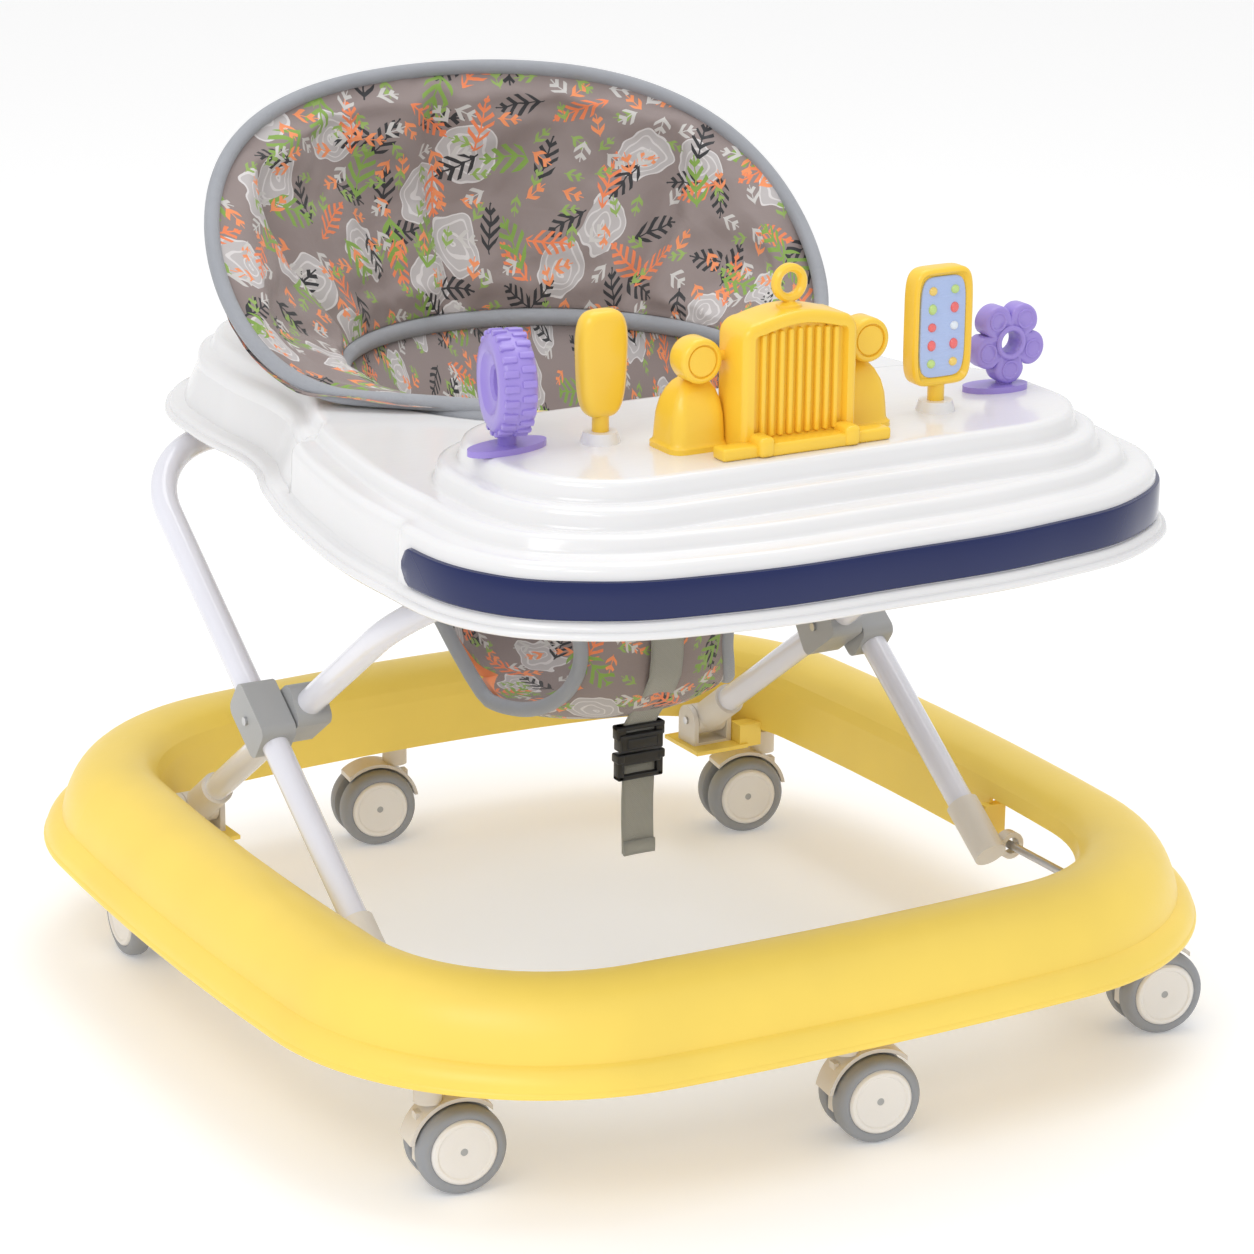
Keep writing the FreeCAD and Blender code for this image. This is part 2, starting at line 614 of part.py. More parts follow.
def tray():
    shell = tray_solid(0)
    shell = shell.fuse(slab(tray_outline(0), size("tray_lip"), size("tray_lip") + size("lip_thick")))
    shell = shell.cut(tray_solid(size("tray_wall")))
    well = ellipse_post(size("well_width"), size("well_length"), size("well_back"), 300, 600)
    skirt = ellipse_post(size("well_width") + 2 * size("tray_wall"),
                         size("well_length") + 2 * size("tray_wall"), size("well_back"),
                         size("tray_rim") - 14, size("tray_rim") + size("step_rise") - 1)
    shell = shell.fuse(skirt).cut(well)
    for x, y in post_places():
        shell = shell.cut(Part.makeCylinder(post_hole(), 60, Vector(x, y, size("deck_height") - 30)))
    node("tray_shell", shell)
    node("trim_strip", trim_strip())


def post_places():
    """Where the four turning toys stand: tyre, pill, panel, flower."""
    return [(-size("tyre_toy_side"), size("tyre_toy_front")), (-size("pill_side"), size("pill_front")),
            (size("panel_side"), size("panel_front")), (size("flower_side"), size("flower_front"))]


def post_hole():
    return size("post_radius") + size("running_gap")


def trim_strip():
    """Glossy strip round the front of the tray wall and both front corners."""
    low, high = size("trim_bottom"), size("trim_bottom") + size("trim_height")
    outer = slab(tray_outline(size("lip_wide") - size("trim_thick")), low, high)
    inner = slab(tray_outline(size("lip_wide")), low - 1, high + 1)
    keep = Part.makeBox(600, 190, 200, Vector(-300, -400, low - 50))
    return outer.cut(inner).common(keep)


def crossbar(way):
    """Axis height and place of a tube's top bar: way 1 rear, way -1 front."""
    angle = math.radians(size("fold_angle"))
    y = size("crossing_back") + way * size("upper_arm") * math.cos(angle)
    return y, crossing_height() + size("upper_arm") * math.sin(angle)


def tray_fittings():
    """Saddles that the rear bar turns in, tracks that the front bar slides in."""
    radius = size("tube_diameter") / 2 + size("running_gap")
    wall, width, side = size("saddle_wall"), size("saddle_width"), size("saddle_side")
    roof = size("tray_rim") - size("tray_wall")
    y, z = crossbar(1)
    block = Part.makeBox(width, 2 * (radius + wall), roof - z, Vector(side, y - radius - wall, z))
    barrel = Part.makeCylinder(radius + wall, width, Vector(side, y, z), Vector(1, 0, 0))
    bar = Part.makeCylinder(radius, 3 * width, Vector(side - width, y, z), Vector(1, 0, 0))
    node("tray_saddles", both_sides(block.fuse(barrel).cut(bar).removeSplitter()))
    y, z = crossbar(-1)
    gap = radius + size("part_gap")
    front = y - size("track_slide")
    step_roof = size("tray_rim") + size("step_rise") - size("tray_wall")
    long, tall = y - front + 2 * (gap + wall), 2 * (gap + wall)
    outer = Part.makeBox(width, long, tall, Vector(side, front - gap - wall, z - gap - wall))
    web = Part.makeBox(wall, long, step_roof - z, Vector(side + (width - wall) / 2,
                                                         front - gap - wall, z))
    outer = outer.fuse(web)
    slot = Part.makeBox(3 * width, y - front, 2 * gap, Vector(side - width, front, z - gap))
    ends = [Part.makeCylinder(gap, 3 * width, Vector(side - width, at, z), Vector(1, 0, 0))
            for at in (front, y)]
    node("slide_tracks", both_sides(outer.cut(slot.fuse(ends[0]).fuse(ends[1]))))


# --------------------------------------------------------------------- seat

def bowl(grow):
    """The sling's form: three ellipses that widen upwards; grow moves its faces out."""
    clear = 6 * size("fabric_gap")
    levels = [(size("sling_bottom") - grow, size("sling_floor_width"), size("sling_floor_length"),
               size("sling_low_back")),
              (size("sling_middle"), size("sling_low_width"), size("sling_low_length"),
               size("sling_low_back")),
              (size("sling_top") + (1 if grow < 0 else 0), size("well_width") - clear,
               size("well_length") - clear, size("well_back"))]
    return ellipse_loft([(z, width + 2 * grow, length + 2 * grow, back)
                         for z, width, length, back in levels])


def ellipse_loft(levels):
    """Straight-sided loft through upright ellipses: height, width, length, place."""
    wires = []
    for z, width, length, back in levels:
        post = ellipse_post(width, length, back, z, z + 1)
        wires.append(min(post.Faces, key=lambda f: f.CenterOfMass.z).OuterWire)
    return Part.makeLoft(wires, True, True)


def seat():
    sling = bowl(0).cut(bowl(-size("seat_thick")))
    radius = size("leg_hole_radius")
    for side in (-1, 1):
        start = Vector(side * size("leg_hole_side"), size("leg_hole_back"), size("leg_hole_height"))
        sling = sling.cut(Part.makeCylinder(radius, 200, start, Vector(side * 0.35, -1, 0)))
    node("seat_sling", sling)
    node("seat_back", seat_back())


def rim_height(turned):
    """Height of the back's arched rim at an angle from the middle of the back."""
    fall = 1 - math.cos(turned)
    return (size("rim_top") - size("rim_fall") * fall - size("rim_fall_two") * fall ** 2
            + size("rim_fall_four") * fall ** 4)


def seat_back():
    """Padded back: a wall flared from the well's edge to an arched rim."""
    foot, top, half = size("back_foot"), size("rim_top"), size("back_thick") / 2
    clear = 12 * size("fabric_gap")
    shapes = []
    for grow in (half, -half):
        past = 1 if grow < 0 else 0
        shapes.append(ellipse_loft([
            (foot - past, size("well_width") - clear + 2 * grow,
             size("well_length") - clear + 2 * grow, size("well_back")),
            (top + past + size("binding_radius"), size("rim_width") + 2 * grow,
             size("rim_length") + 2 * grow, size("rim_back"))]))
    wall = shapes[0].cut(shapes[1])
    return wall.common(rim_keep())


def rim_keep():
    """What lies under the rim: its side outline drawn out across the walker."""
    steps, wide = 12, size("ring_width")
    points = []
    for i in range(steps + 1):
        turned = math.radians(size("rim_turn")) * i / steps
        points.append(Vector(-wide / 2, size("rim_back") + size("rim_length") / 2 * math.cos(turned),
                             rim_height(turned) + size("binding_radius")))
    curve = Part.BSplineCurve()
    curve.interpolate(points)
    low, behind = size("back_foot") - 10, points[0].y + 60
    corners = [points[-1], Vector(-wide / 2, points[-1].y, low), Vector(-wide / 2, behind, low),
               Vector(-wide / 2, behind, points[0].z), points[0]]
    edges = [Part.LineSegment(a, b).toShape() for a, b in zip(corners, corners[1:])]
    return Part.Face(Part.Wire([curve.toShape()] + edges)).extrude(Vector(wide, 0, 0))


def strap():
    """Crotch strap with a slide-release buckle and a loose tail."""
    wide, thick, y = size("strap_width"), size("strap_thick"), size("strap_front")
    top, split, low = size("buckle_top"), size("buckle_split"), size("buckle_low")
    gap = size("part_gap") / 2

    def web(high, bottom):
        return Part.makeBox(wide, thick, high - bottom, Vector(-wide / 2, y - thick / 2, bottom))

    def block(high, bottom):
        size_x, deep = size("buckle_width"), size("buckle_thick")
        box = Part.makeBox(size_x, deep, high - bottom, Vector(-size_x / 2, y - deep / 2, bottom))
        return box.makeFillet(3, [e for e in box.Edges if abs(e.tangentAt(0).y) > 0.9])

    out, turn = size("strap_out"), size("strap_turn")
    line = [(out, size("strap_top")), (out, turn), (y - thick / 2, top)]
    ends = line + [(a + thick, b) for a, b in reversed(line)]
    corners = [Vector(-wide / 2, a, b) for a, b in ends]
    side = Part.Face(Part.makePolygon(corners + corners[:1]))
    node("strap_webbing", side.extrude(Vector(wide, 0, 0)))
    node("buckle_socket", block(top, split + gap))
    node("buckle_tongue", block(split - gap, low))
    node("strap_tail", web(low, size("strap_low")))


# --------------------------------------------------------------------- toys

def deck_plate(x, y, long, wide, turned, shift=0.0):
    """Flat plate under a toy, with a hole for the toy's post."""
    z = size("deck_height")
    plate = ellipse_post(long, wide, 0, 0, size("plate_thick"))
    plate.Placement = Placement(Vector(x + shift, y, z), Rotation(Vector(0, 0, 1), turned))
    return plate.cut(Part.makeCylinder(post_hole(), 20, Vector(x, y, z - 8)))


def post(x, y, start):
    """Turning post of a toy, from under the deck up to the toy."""
    low = size("deck_height") - size("tray_wall") - 5
    stem = Part.makeCylinder(size("post_radius"), start - low, Vector(x, y, low))
    keep = Part.makeCylinder(size("post_radius") + 3, 3, Vector(x, y, low - 1))
    return stem.fuse(keep)


def collars():
    """White collars that the pill's and the panel's posts turn in."""
    z, rings = size("deck_height"), []
    for x, y in post_places()[1:3]:
        at = Vector(x, y, z)
        ring = Part.makeCone(size("collar_radius"), size("collar_radius") - 2,
                             size("collar_height"), at)
        rings.append(ring.cut(Part.makeCylinder(post_hole(), 20, at - Vector(0, 0, 5))))
    return Part.makeCompound(rings)


def toys():
    deck, gap = size("deck_height"), size("part_gap")
    tyre_at, pill_at, panel_at, flower_at = post_places()
    node("toy_collars", collars())
    node("leaf_plate", deck_plate(*tyre_at, 60, 26, 10))
    node("oval_plate", deck_plate(*flower_at, 46, 24, -10, size("plate_shift")))
    base = deck + size("plate_thick") + gap
    node("tyre_toy", tyre_toy(*tyre_at, base))
    node("flower_toy", flower(*flower_at, base))
    top = deck + size("collar_height") + gap
    node("pill_toy", pill(*pill_at, top))
    panel(*panel_at, top)
    car()


def tyre_toy(x, y, base):
    """Small tyre on a post, with a hole through its middle."""
    radius, wide = size("tyre_toy_radius"), size("tyre_toy_width")
    centre = Vector(x, y, base + size("neck_rise") / 2 + radius)
    turned = math.radians(size("tyre_toy_turn"))
    axis = Vector(math.cos(turned), math.sin(turned), 0)
    wheel = Part.makeCylinder(radius, wide, centre - axis * wide / 2, axis)
    wheel = wheel.makeFillet(6, [e for e in wheel.Edges if abs(e.Length - math.tau * radius) < 1])
    bore = Part.makeCylinder(size("tyre_toy_bore"), 2 * radius, centre - axis * radius, axis)
    return wheel.fuse(post(x, y, centre.z - radius + 4)).cut(bore)


def flower(x, y, base):
    """Five petals round a hole, standing on edge."""
    petal, reach = size("flower_radius"), size("flower_reach")
    thick, rise = size("flower_thick"), size("flower_radius") + size("flower_reach") - size("flower_drop")
    middle = base + rise + 2
    whole = Part.makeCylinder(reach + 4, thick, Vector(x, y - thick / 2, middle), Vector(0, 1, 0))
    for i in range(5):
        angle = math.tau * i / 5 - math.pi / 2
        at = Vector(x + reach * math.cos(angle), y - thick / 2, middle + reach * math.sin(angle))
        whole = whole.fuse(Part.makeCylinder(petal - 3, thick, at, Vector(0, 1, 0)))
    hole = Part.makeCylinder(size("flower_hole_radius"), 60, Vector(x, y - 30, middle), Vector(0, 1, 0))
    return whole.fuse(post(x, y, base + 8)).cut(hole).removeSplitter()


def pill(x, y, base):
    """Rounded paddle on a short neck."""
    wide, tall, thick = size("pill_wide"), size("pill_tall"), size("pill_thick")
    low = base + size("neck_rise")
    block = Part.makeBox(wide, thick, tall, Vector(x - wide / 2, y - thick / 2, low))
    block = block.makeFillet(wide / 2 - 0.5, [e for e in block.Edges if abs(e.tangentAt(0).y) > 0.9])
    return block.fuse(post(x, y, low + 2))


def panel(x, y, base):
    """Framed panel with a recessed face and rows of beads."""
    wide, tall, thick = size("panel_wide"), size("panel_tall"), size("panel_thick")
    low, rim, deep = base + size("neck_rise"), size("panel_frame"), size("panel_recess")
    block = Part.makeBox(wide, thick, tall, Vector(x - wide / 2, y - thick / 2, low))
    block = block.makeFillet(10, [e for e in block.Edges if abs(e.tangentAt(0).y) > 0.9])
    face = Part.makeBox(wide - 2 * rim, 2, tall - 2 * rim,
                        Vector(x - wide / 2 + rim, y - thick / 2 + deep - 2, low + rim))
    pocket = Part.makeBox(wide - 2 * rim, deep, tall - 2 * rim,
                          Vector(x - wide / 2 + rim, y - thick / 2, low + rim))
    node("panel_frame", block.cut(pocket).fuse(post(x, y, low + 2)))
    beads = [Part.makeSphere(3, Vector(x + 6.5 * (i % 2 * 2 - 1), y - thick / 2 + deep - 2,
                                       low + rim + 8 + 11.5 * (i // 2))) for i in range(10)]
    face = face.cut(Part.makeCompound(beads))
    node("panel_face", face)
    keep = Part.makeBox(wide, 6, tall, Vector(x - wide / 2, y - thick / 2 + deep - 6, low))
    node("panel_beads", Part.makeCompound([bead.common(keep) for bead in beads]))


def car():
    """Front of a toy motor car, screwed to the middle of the deck."""
    deck, front = size("deck_height"), size("car_front")
    wide, tall, deep = size("grille_wide"), size("grille_tall"), size("grille_deep")
    block = Part.makeBox(wide, deep, tall, Vector(-wide / 2, front, deck))
    block = block.makeFillet(16, [e for e in block.Edges
                                  if abs(e.tangentAt(0).y) > 0.9 and e.CenterOfMass.z > deck + 9])
    room, count = wide - 24, int(size("slat_count"))
    for i in range(count):
        x = -room / 2 + (i + 0.5) * room / count
        block = block.cut(Part.makeBox(room / count * 0.45, size("slat_depth"), tall - 30,
                                       Vector(x - room / count * 0.22, front, deck + 16)))
    at_middle = lambda shape: shape.translated(Vector(size("car_middle"), 0, 0))
    node("car_grille", at_middle(block))
    node("car_fenders", at_middle(both_sides(fender(wide / 2, deck, front + size("fender_back")))))
    bumper = Part.makeBox(size("bumper_wide"), size("bumper_deep"), size("bumper_tall"),
                          Vector(-size("bumper_wide") / 2, front - size("bumper_deep"), deck))
    node("car_bumper", at_middle(bumper))
    radius, wire = size("ornament_radius"), size("ornament_wire")
    at = Vector(0, front + deep / 2, deck + tall + radius + wire + 2)
    loop = Part.makeTorus(radius, wire, at, Vector(0, 1, 0))
    foot = Part.makeCylinder(4, 4, Vector(0, front + deep / 2, deck + tall))
    node("car_ornament", at_middle(loop.fuse(foot)))


def fender(inner, deck, front):
    """Rounded fender with its head lamp, on the right of the grille."""
    wide, tall, deep = size("fender_wide"), size("fender_tall"), size("fender_deep")
    block = Part.makeBox(wide, deep, tall, Vector(inner, front, deck))
    top = [e for e in block.Edges if e.CenterOfMass.z > deck + tall - 1
           and abs(e.tangentAt(0).z) < 0.1 and (e.CenterOfMass.x > inner + wide - 1
                                                or e.CenterOfMass.y < front + 1)]
    block = block.makeFillet(13, top)
    radius = size("lamp_radius")
    lamp = Part.makeCylinder(radius, size("lamp_deep"),
                             Vector(inner + wide / 2, front + 2, deck + tall + radius - 2),
                             Vector(0, 1, 0))
    return block.fuse(lamp).removeSplitter()


# -------------------------------------------------------------------- build

node("base_ring", base_ring())
side_hardware()
caster_set()
scissor()
tray()
tray_fittings()
seat()
strap()
toys()
doc.recompute()

faults = [obj.Name for obj in doc.Objects if {"Invalid", "Error"} & set(obj.State)]
faults += [obj.Label for obj in NODES if obj.Shape.isNull() or not obj.Shape.isValid()]
if faults:
    raise SystemExit(f"not built: {faults}")
os.makedirs("parts", exist_ok=True)
for obj in NODES:
    obj.Shape.exportStep(f"parts/{obj.Label}.step")
print(len(NODES), "nodes")
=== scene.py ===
import json
import math

import bmesh
import bpy
from mathutils import Matrix, Vector
from mathutils.bvhtree import BVHTree


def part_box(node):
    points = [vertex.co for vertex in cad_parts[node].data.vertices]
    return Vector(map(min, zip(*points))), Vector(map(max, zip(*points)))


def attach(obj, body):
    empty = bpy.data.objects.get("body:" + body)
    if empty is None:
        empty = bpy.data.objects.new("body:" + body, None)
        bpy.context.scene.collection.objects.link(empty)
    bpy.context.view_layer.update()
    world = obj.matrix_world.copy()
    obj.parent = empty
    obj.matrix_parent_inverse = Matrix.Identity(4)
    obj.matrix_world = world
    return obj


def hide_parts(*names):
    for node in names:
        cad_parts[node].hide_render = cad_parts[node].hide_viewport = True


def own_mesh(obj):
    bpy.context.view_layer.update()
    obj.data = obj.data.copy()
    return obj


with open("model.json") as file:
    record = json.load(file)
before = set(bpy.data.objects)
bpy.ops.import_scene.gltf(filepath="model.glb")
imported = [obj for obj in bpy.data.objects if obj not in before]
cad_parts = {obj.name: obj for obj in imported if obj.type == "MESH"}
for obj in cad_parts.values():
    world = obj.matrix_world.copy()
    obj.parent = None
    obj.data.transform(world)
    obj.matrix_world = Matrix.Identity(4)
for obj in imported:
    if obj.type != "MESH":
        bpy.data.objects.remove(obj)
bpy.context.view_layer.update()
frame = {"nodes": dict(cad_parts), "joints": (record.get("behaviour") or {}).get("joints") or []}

# ------------------------------------------------------------------- studio
# A pale floor under a bright even sky, with soft boxes above the walker and to
# its front left. The camera stands in front, to the left, looking down a little.

yaw, pitch, roll = (math.radians(angle) for angle in (30.13, 17.43, 0.66))
ahead = Vector((math.sin(yaw) * math.cos(pitch), math.cos(yaw) * math.cos(pitch), -math.sin(pitch)))
level = Vector((math.cos(yaw), -math.sin(yaw), 0))
steep = level.cross(ahead)
camera_x = math.cos(roll) * level + math.sin(roll) * steep
camera_y = math.cos(roll) * steep - math.sin(roll) * level
camera = bpy.data.objects.new("camera", bpy.data.cameras.new("camera"))
camera.data.sensor_width = 36
camera.data.lens = 121.35
camera.matrix_world = (Matrix.Translation((-1.4042, -2.4476, 1.1488))
                       @ Matrix((camera_x, camera_y, -ahead)).transposed().to_4x4())
bpy.context.scene.collection.objects.link(camera)
bpy.context.scene.camera = camera
bpy.context.scene.view_settings.view_transform = "Standard"

floor_material = bpy.data.materials.new("floor_paper")
floor_material.use_nodes = True
floor_shader = floor_material.node_tree.nodes["Principled BSDF"]
for label, value in (("Base Color", (0.9, 0.9, 0.9, 1)), ("Roughness", 0.7),
                     ("Emission Color", (1, 1, 1, 1)), ("Emission Strength", 0.2)):
    floor_shader.inputs[label].default_value = value
floor_bm = bmesh.new()
bmesh.ops.create_grid(floor_bm, x_segments=1, y_segments=1, size=8)
floor_mesh = bpy.data.meshes.new("floor")
floor_bm.to_mesh(floor_mesh)
floor_mesh.materials.append(floor_material)
floor = bpy.data.objects.new("floor", floor_mesh)
bpy.context.scene.collection.objects.link(floor)

world = bpy.data.worlds.new("studio_sky")
world.use_nodes = True
world.node_tree.nodes["Background"].inputs["Color"].default_value = (1, 1, 1, 1)
sky_tree = world.node_tree
seen = sky_tree.nodes.new("ShaderNodeLightPath").outputs["Is Camera Ray"]
strength = sky_tree.nodes.new("ShaderNodeMapRange")
strength.inputs["To Min"].default_value = 0.8
strength.inputs["To Max"].default_value = 1.0
sky_tree.links.new(seen, strength.inputs["Value"])
sky_tree.links.new(strength.outputs["Result"], sky_tree.nodes["Background"].inputs["Strength"])
bpy.context.scene.world = world

for lamp_name, place, watts, wide in (("soft_box_left", (-1.9, -1.2, 2.3), 18, 1.3),
                                      ("soft_box_top", (0.4, 0.3, 2.8), 20, 1.8),
                                      ("spot_box", (-1.5, -2.3, 1.9), 3, 0.2)):
    lamp = bpy.data.lights.new(lamp_name, "AREA")
    lamp.energy = watts
    lamp.size = wide
    lamp_object = bpy.data.objects.new(lamp_name, lamp)
    lamp_object.location = place
    lamp_object.rotation_euler = (Vector((0, 0, 0.3)) - Vector(place)).to_track_quat("-Z", "Y").to_euler()
    bpy.context.scene.collection.objects.link(lamp_object)

# --------------------------------------------------------------- floor ring
# The ring is one hollow yellow moulding with a satin face. Its colour varies a
# little with the thickness of the plastic, and its mould left a fine grain.


def new_group(name, inputs, outputs):
    """A shader node group with its sockets, and the ends to wire it to."""
    group = bpy.data.node_groups.new(name, "ShaderNodeTree")
    for label, kind, value in inputs:
        socket = group.interface.new_socket(label, in_out="INPUT", socket_type=kind)
        socket.default_value = value
    for label, kind in outputs:
        group.interface.new_socket(label, in_out="OUTPUT", socket_type=kind)
    return group, group.nodes.new("NodeGroupInput"), group.nodes.new("NodeGroupOutput")


def add_node(tree, kind, wires=None, **settings):
    """Add a node, set its properties, and link or fill its inputs by name or number."""
    node = tree.nodes.new(f"ShaderNode{kind}")
    for name, value in settings.items():
        setattr(node, name, value)
    for key, value in (wires or {}).items():
        if isinstance(value, bpy.types.NodeSocket):
            tree.links.new(value, node.inputs[key])
        else:
            node.inputs[key].default_value = value
    return node


def maths(tree, how, a, b=0.0, kind="Math"):
    """One step of arithmetic in a node tree."""
    return add_node(tree, kind, {0: a, 1: b}, operation=how).outputs[0]


def make_moulded_surface():
    """Grain and slow unevenness of a moulded or painted face."""
    group, start, end = new_group(
        "moulded_surface",
        [("Color", "NodeSocketColor", (0.8, 0.8, 0.8, 1)), ("Tone", "NodeSocketFloat", 0.06),
         ("Grain Scale", "NodeSocketFloat", 900), ("Grain Depth", "NodeSocketFloat", 0.1),
         ("Roughness", "NodeSocketFloat", 0.35), ("Marks", "NodeSocketFloat", 0.1)],
        [("Color", "NodeSocketColor"), ("Roughness", "NodeSocketFloat"), ("Normal", "NodeSocketVector")])
    place = add_node(group, "TexCoord").outputs["Object"]
    slow = add_node(group, "TexNoise", {"Vector": place, "Scale": 9, "Detail": 3}).outputs["Fac"]
    shift = add_node(group, "MapRange", {"Value": slow, "From Min": 0.3, "From Max": 0.7, "To Min": -1,
                                         "To Max": 1}).outputs["Result"]
    change = maths(group, "MULTIPLY", shift, start.outputs["Tone"])
    bright = maths(group, "ADD", change, 1)
    colour = add_node(group, "HueSaturation", {"Color": start.outputs["Color"], "Value": bright})
    group.links.new(colour.outputs["Color"], end.inputs["Color"])
    stretch = add_node(group, "Mapping", {"Vector": place, "Scale": (60, 900, 300)}).outputs["Vector"]
    marks = add_node(group, "TexNoise", {"Vector": stretch, "Scale": 1, "Detail": 4}).outputs["Fac"]
    worn = add_node(group, "MapRange", {"Value": marks, "From Min": 0.45, "From Max": 0.75}).outputs["Result"]
    extra = maths(group, "MULTIPLY", worn, start.outputs["Marks"])
    rough = maths(group, "ADD", start.outputs["Roughness"], extra)
    group.links.new(rough, end.inputs["Roughness"])
    grain = add_node(group, "TexNoise", {"Vector": place, "Scale": start.outputs["Grain Scale"],
                                         "Detail": 2}).outputs["Fac"]
    bump = add_node(group, "Bump", {"Strength": start.outputs["Grain Depth"], "Distance": 0.0004,
                                    "Height": grain}).outputs["Normal"]
    group.links.new(bump, end.inputs["Normal"])
    return group


moulded_surface = make_moulded_surface()


def moulded(name, colour, roughness, tone=0.05, grain=900, depth=0.12, marks=0.08, coat=0.0, metal=0.0,
            scatter=0.0):
    """A material whose colour, gloss and grain come from the moulded surface group."""
    material = bpy.data.materials.new(name)
    material.use_nodes = True
    tree = material.node_tree
    shader = tree.nodes["Principled BSDF"]
    surface = tree.nodes.new("ShaderNodeGroup")
    surface.node_tree = moulded_surface
    for label, value in (("Color", (*colour, 1)), ("Tone", tone), ("Grain Scale", grain),
                         ("Grain Depth", depth), ("Roughness", roughness), ("Marks", marks)):
        surface.inputs[label].default_value = value
    for source, target in (("Color", "Base Color"), ("Roughness", "Roughness"), ("Normal", "Normal")):
        tree.links.new(surface.outputs[source], shader.inputs[target])
    shader.inputs["Coat Weight"].default_value = coat
    shader.inputs["Coat Roughness"].default_value = 0.08
    shader.inputs["Metallic"].default_value = metal
    shader.inputs["Subsurface Weight"].default_value = scatter
    shader.inputs["Subsurface Radius"].default_value = (0.004, 0.003, 0.002)
    return material


def dress(material, *names):
    """Give CAD pieces a better material."""
    for name in names:
        mesh = frame["nodes"][name].data
        mesh.materials.clear()
        mesh.materials.append(material)


ring_yellow = moulded("ring_yellow", (0.96, 0.70, 0.12), 0.36, tone=0.04)
dress(ring_yellow, "base_ring")

# ------------------------------------------------------------ steel and tube
# The legs are bent steel tube under glossy white paint. The rods, pins, screws
# and stems are bright zinc-plated steel.

tube_paint = moulded("tube_paint", (0.79, 0.79, 0.86), 0.16, tone=0.02, grain=300, depth=0.05, coat=0.6)
bright_steel = moulded("bright_steel", (0.6, 0.6, 0.61), 0.3, grain=1500, depth=0.2, marks=0.2, metal=1.0)
dress(tube_paint, "outer_leg_tube", "inner_leg_tube")
dress(bright_steel, "rail_rods", "pivot_pins", "crossing_screws", "caster_stems")

# ------------------------------------------------------- clamps and fittings
# Grey clamps hold the crossing; the tube ends sit in cream mouldings.

clamp_grey = moulded("clamp_grey", (0.40, 0.405, 0.41), 0.42, grain=1400, depth=0.2)
cream_plastic = moulded("cream_plastic", (0.74, 0.69, 0.62), 0.4, grain=1200, depth=0.15, scatter=0.05)
dress(clamp_grey, "outer_clamps", "inner_clamps")
dress(cream_plastic, "rear_sockets", "front_shoes", "pivot_brackets")

# ------------------------------------------------------------------ casters
# Each caster has two wheels: a grey rubber tyre round a cream disc with a
# raised rim, a dished middle and the end of its axle. Both are turned here.

MM = 0.001
joints = {joint["name"]: joint for joint in frame["joints"]}
CASTERS = range(1, 7)
DISC_RADIUS, WEB_GAP = 22.3, 5


def lathe(bm, profile, centre, axis, steps=56):
    """Turn an outline of (radius, height) points about an axis through centre."""
    across = axis.orthogonal().normalized()
    verts = [bm.verts.new(centre + axis * height + across * radius) for radius, height in profile]
    edges = [bm.edges.new(pair) for pair in zip(verts, verts[1:])]
    bmesh.ops.spin(bm, geom=verts + edges, cent=centre, axis=axis, angle=math.tau, steps=steps,
                   use_merge=True)


def finish_piece(bm, name, material, scale=MM, sharp=35, merge=1e-4):
    """Weld, turn the faces outwards, and make the object."""
    bmesh.ops.remove_doubles(bm, verts=bm.verts, dist=merge)
    bmesh.ops.recalc_face_normals(bm, faces=bm.faces)
    bmesh.ops.scale(bm, verts=bm.verts, vec=(scale, scale, scale))
    mesh = bpy.data.meshes.new(name)
    bm.to_mesh(mesh)
    bm.free()
    mesh.polygons.foreach_set("use_smooth", [True] * len(mesh.polygons))
    mesh.set_sharp_from_angle(angle=math.radians(sharp))
    mesh.materials.append(material)
    piece = bpy.data.objects.new(name, mesh)
    bpy.context.scene.collection.objects.link(piece)
    return piece


def ride_as(piece, body, slot, *nodes):
    """Fix a piece to its body and hide the CAD nodes it stands for; the slot that names its finish is not used."""
    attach(piece, body)
    if nodes:
        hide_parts(*nodes)


tyre_rubber = moulded("tyre_rubber", (0.30, 0.31, 0.33), 0.55, grain=1600, depth=0.25)
disc_cream = moulded("disc_cream", (0.84, 0.81, 0.77), 0.3, tone=0.03, grain=1200, depth=0.08)
tyre_profile = [(DISC_RADIUS, 0), (27, 0), (29.2, 1), (30, 3.4), (30, 7.5), (29.4, 10.5), (27.8, 13),
                (25.5, 14), (DISC_RADIUS + 0.8, 13.7), (DISC_RADIUS, 13)]
disc_profile = [(2.55, 13.2), (5.4, 13.4), (6.6, 13.4), (8.5, 13.9), (17.5, 14.1), (18.6, 15), (20.6, 15),
                (21.9, 14), (DISC_RADIUS, 12.8), (DISC_RADIUS, 0.6), (2.55, 0.6), (2.55, 13.2)]
for number in CASTERS:
    spin_joint = joints[f"wheel_{number}"]
    hub, spindle = Vector(spin_joint["pos_m"]) / MM, Vector(spin_joint["axis"]).normalized()
    for kind, profile, material, slot in (("tyres", tyre_profile, tyre_rubber, "tyre_rubber"),
                                          ("discs", disc_profile, disc_cream, "disc_plastic")):
        bm = bmesh.new()
        for way in (1, -1):
            lathe(bm, profile, hub + spindle * way * WEB_GAP, spindle * way)
        wheel = finish_piece(bm, f"wheel_{kind}_{number}", material)
        ride_as(wheel, f"wheels_{number}", slot, f"caster_{kind}_{number}")
dress(cream_plastic, *(f"caster_hood_{number}" for number in CASTERS))
dress(clamp_grey, *(f"caster_axle_{number}" for number in CASTERS))

# --------------------------------------------------------------------- tray
# The tray is one glossy white moulding: a beaded lip, an upright wall with a
# shallow side panel, two broad steps, a terraced toy deck and the seat's well.

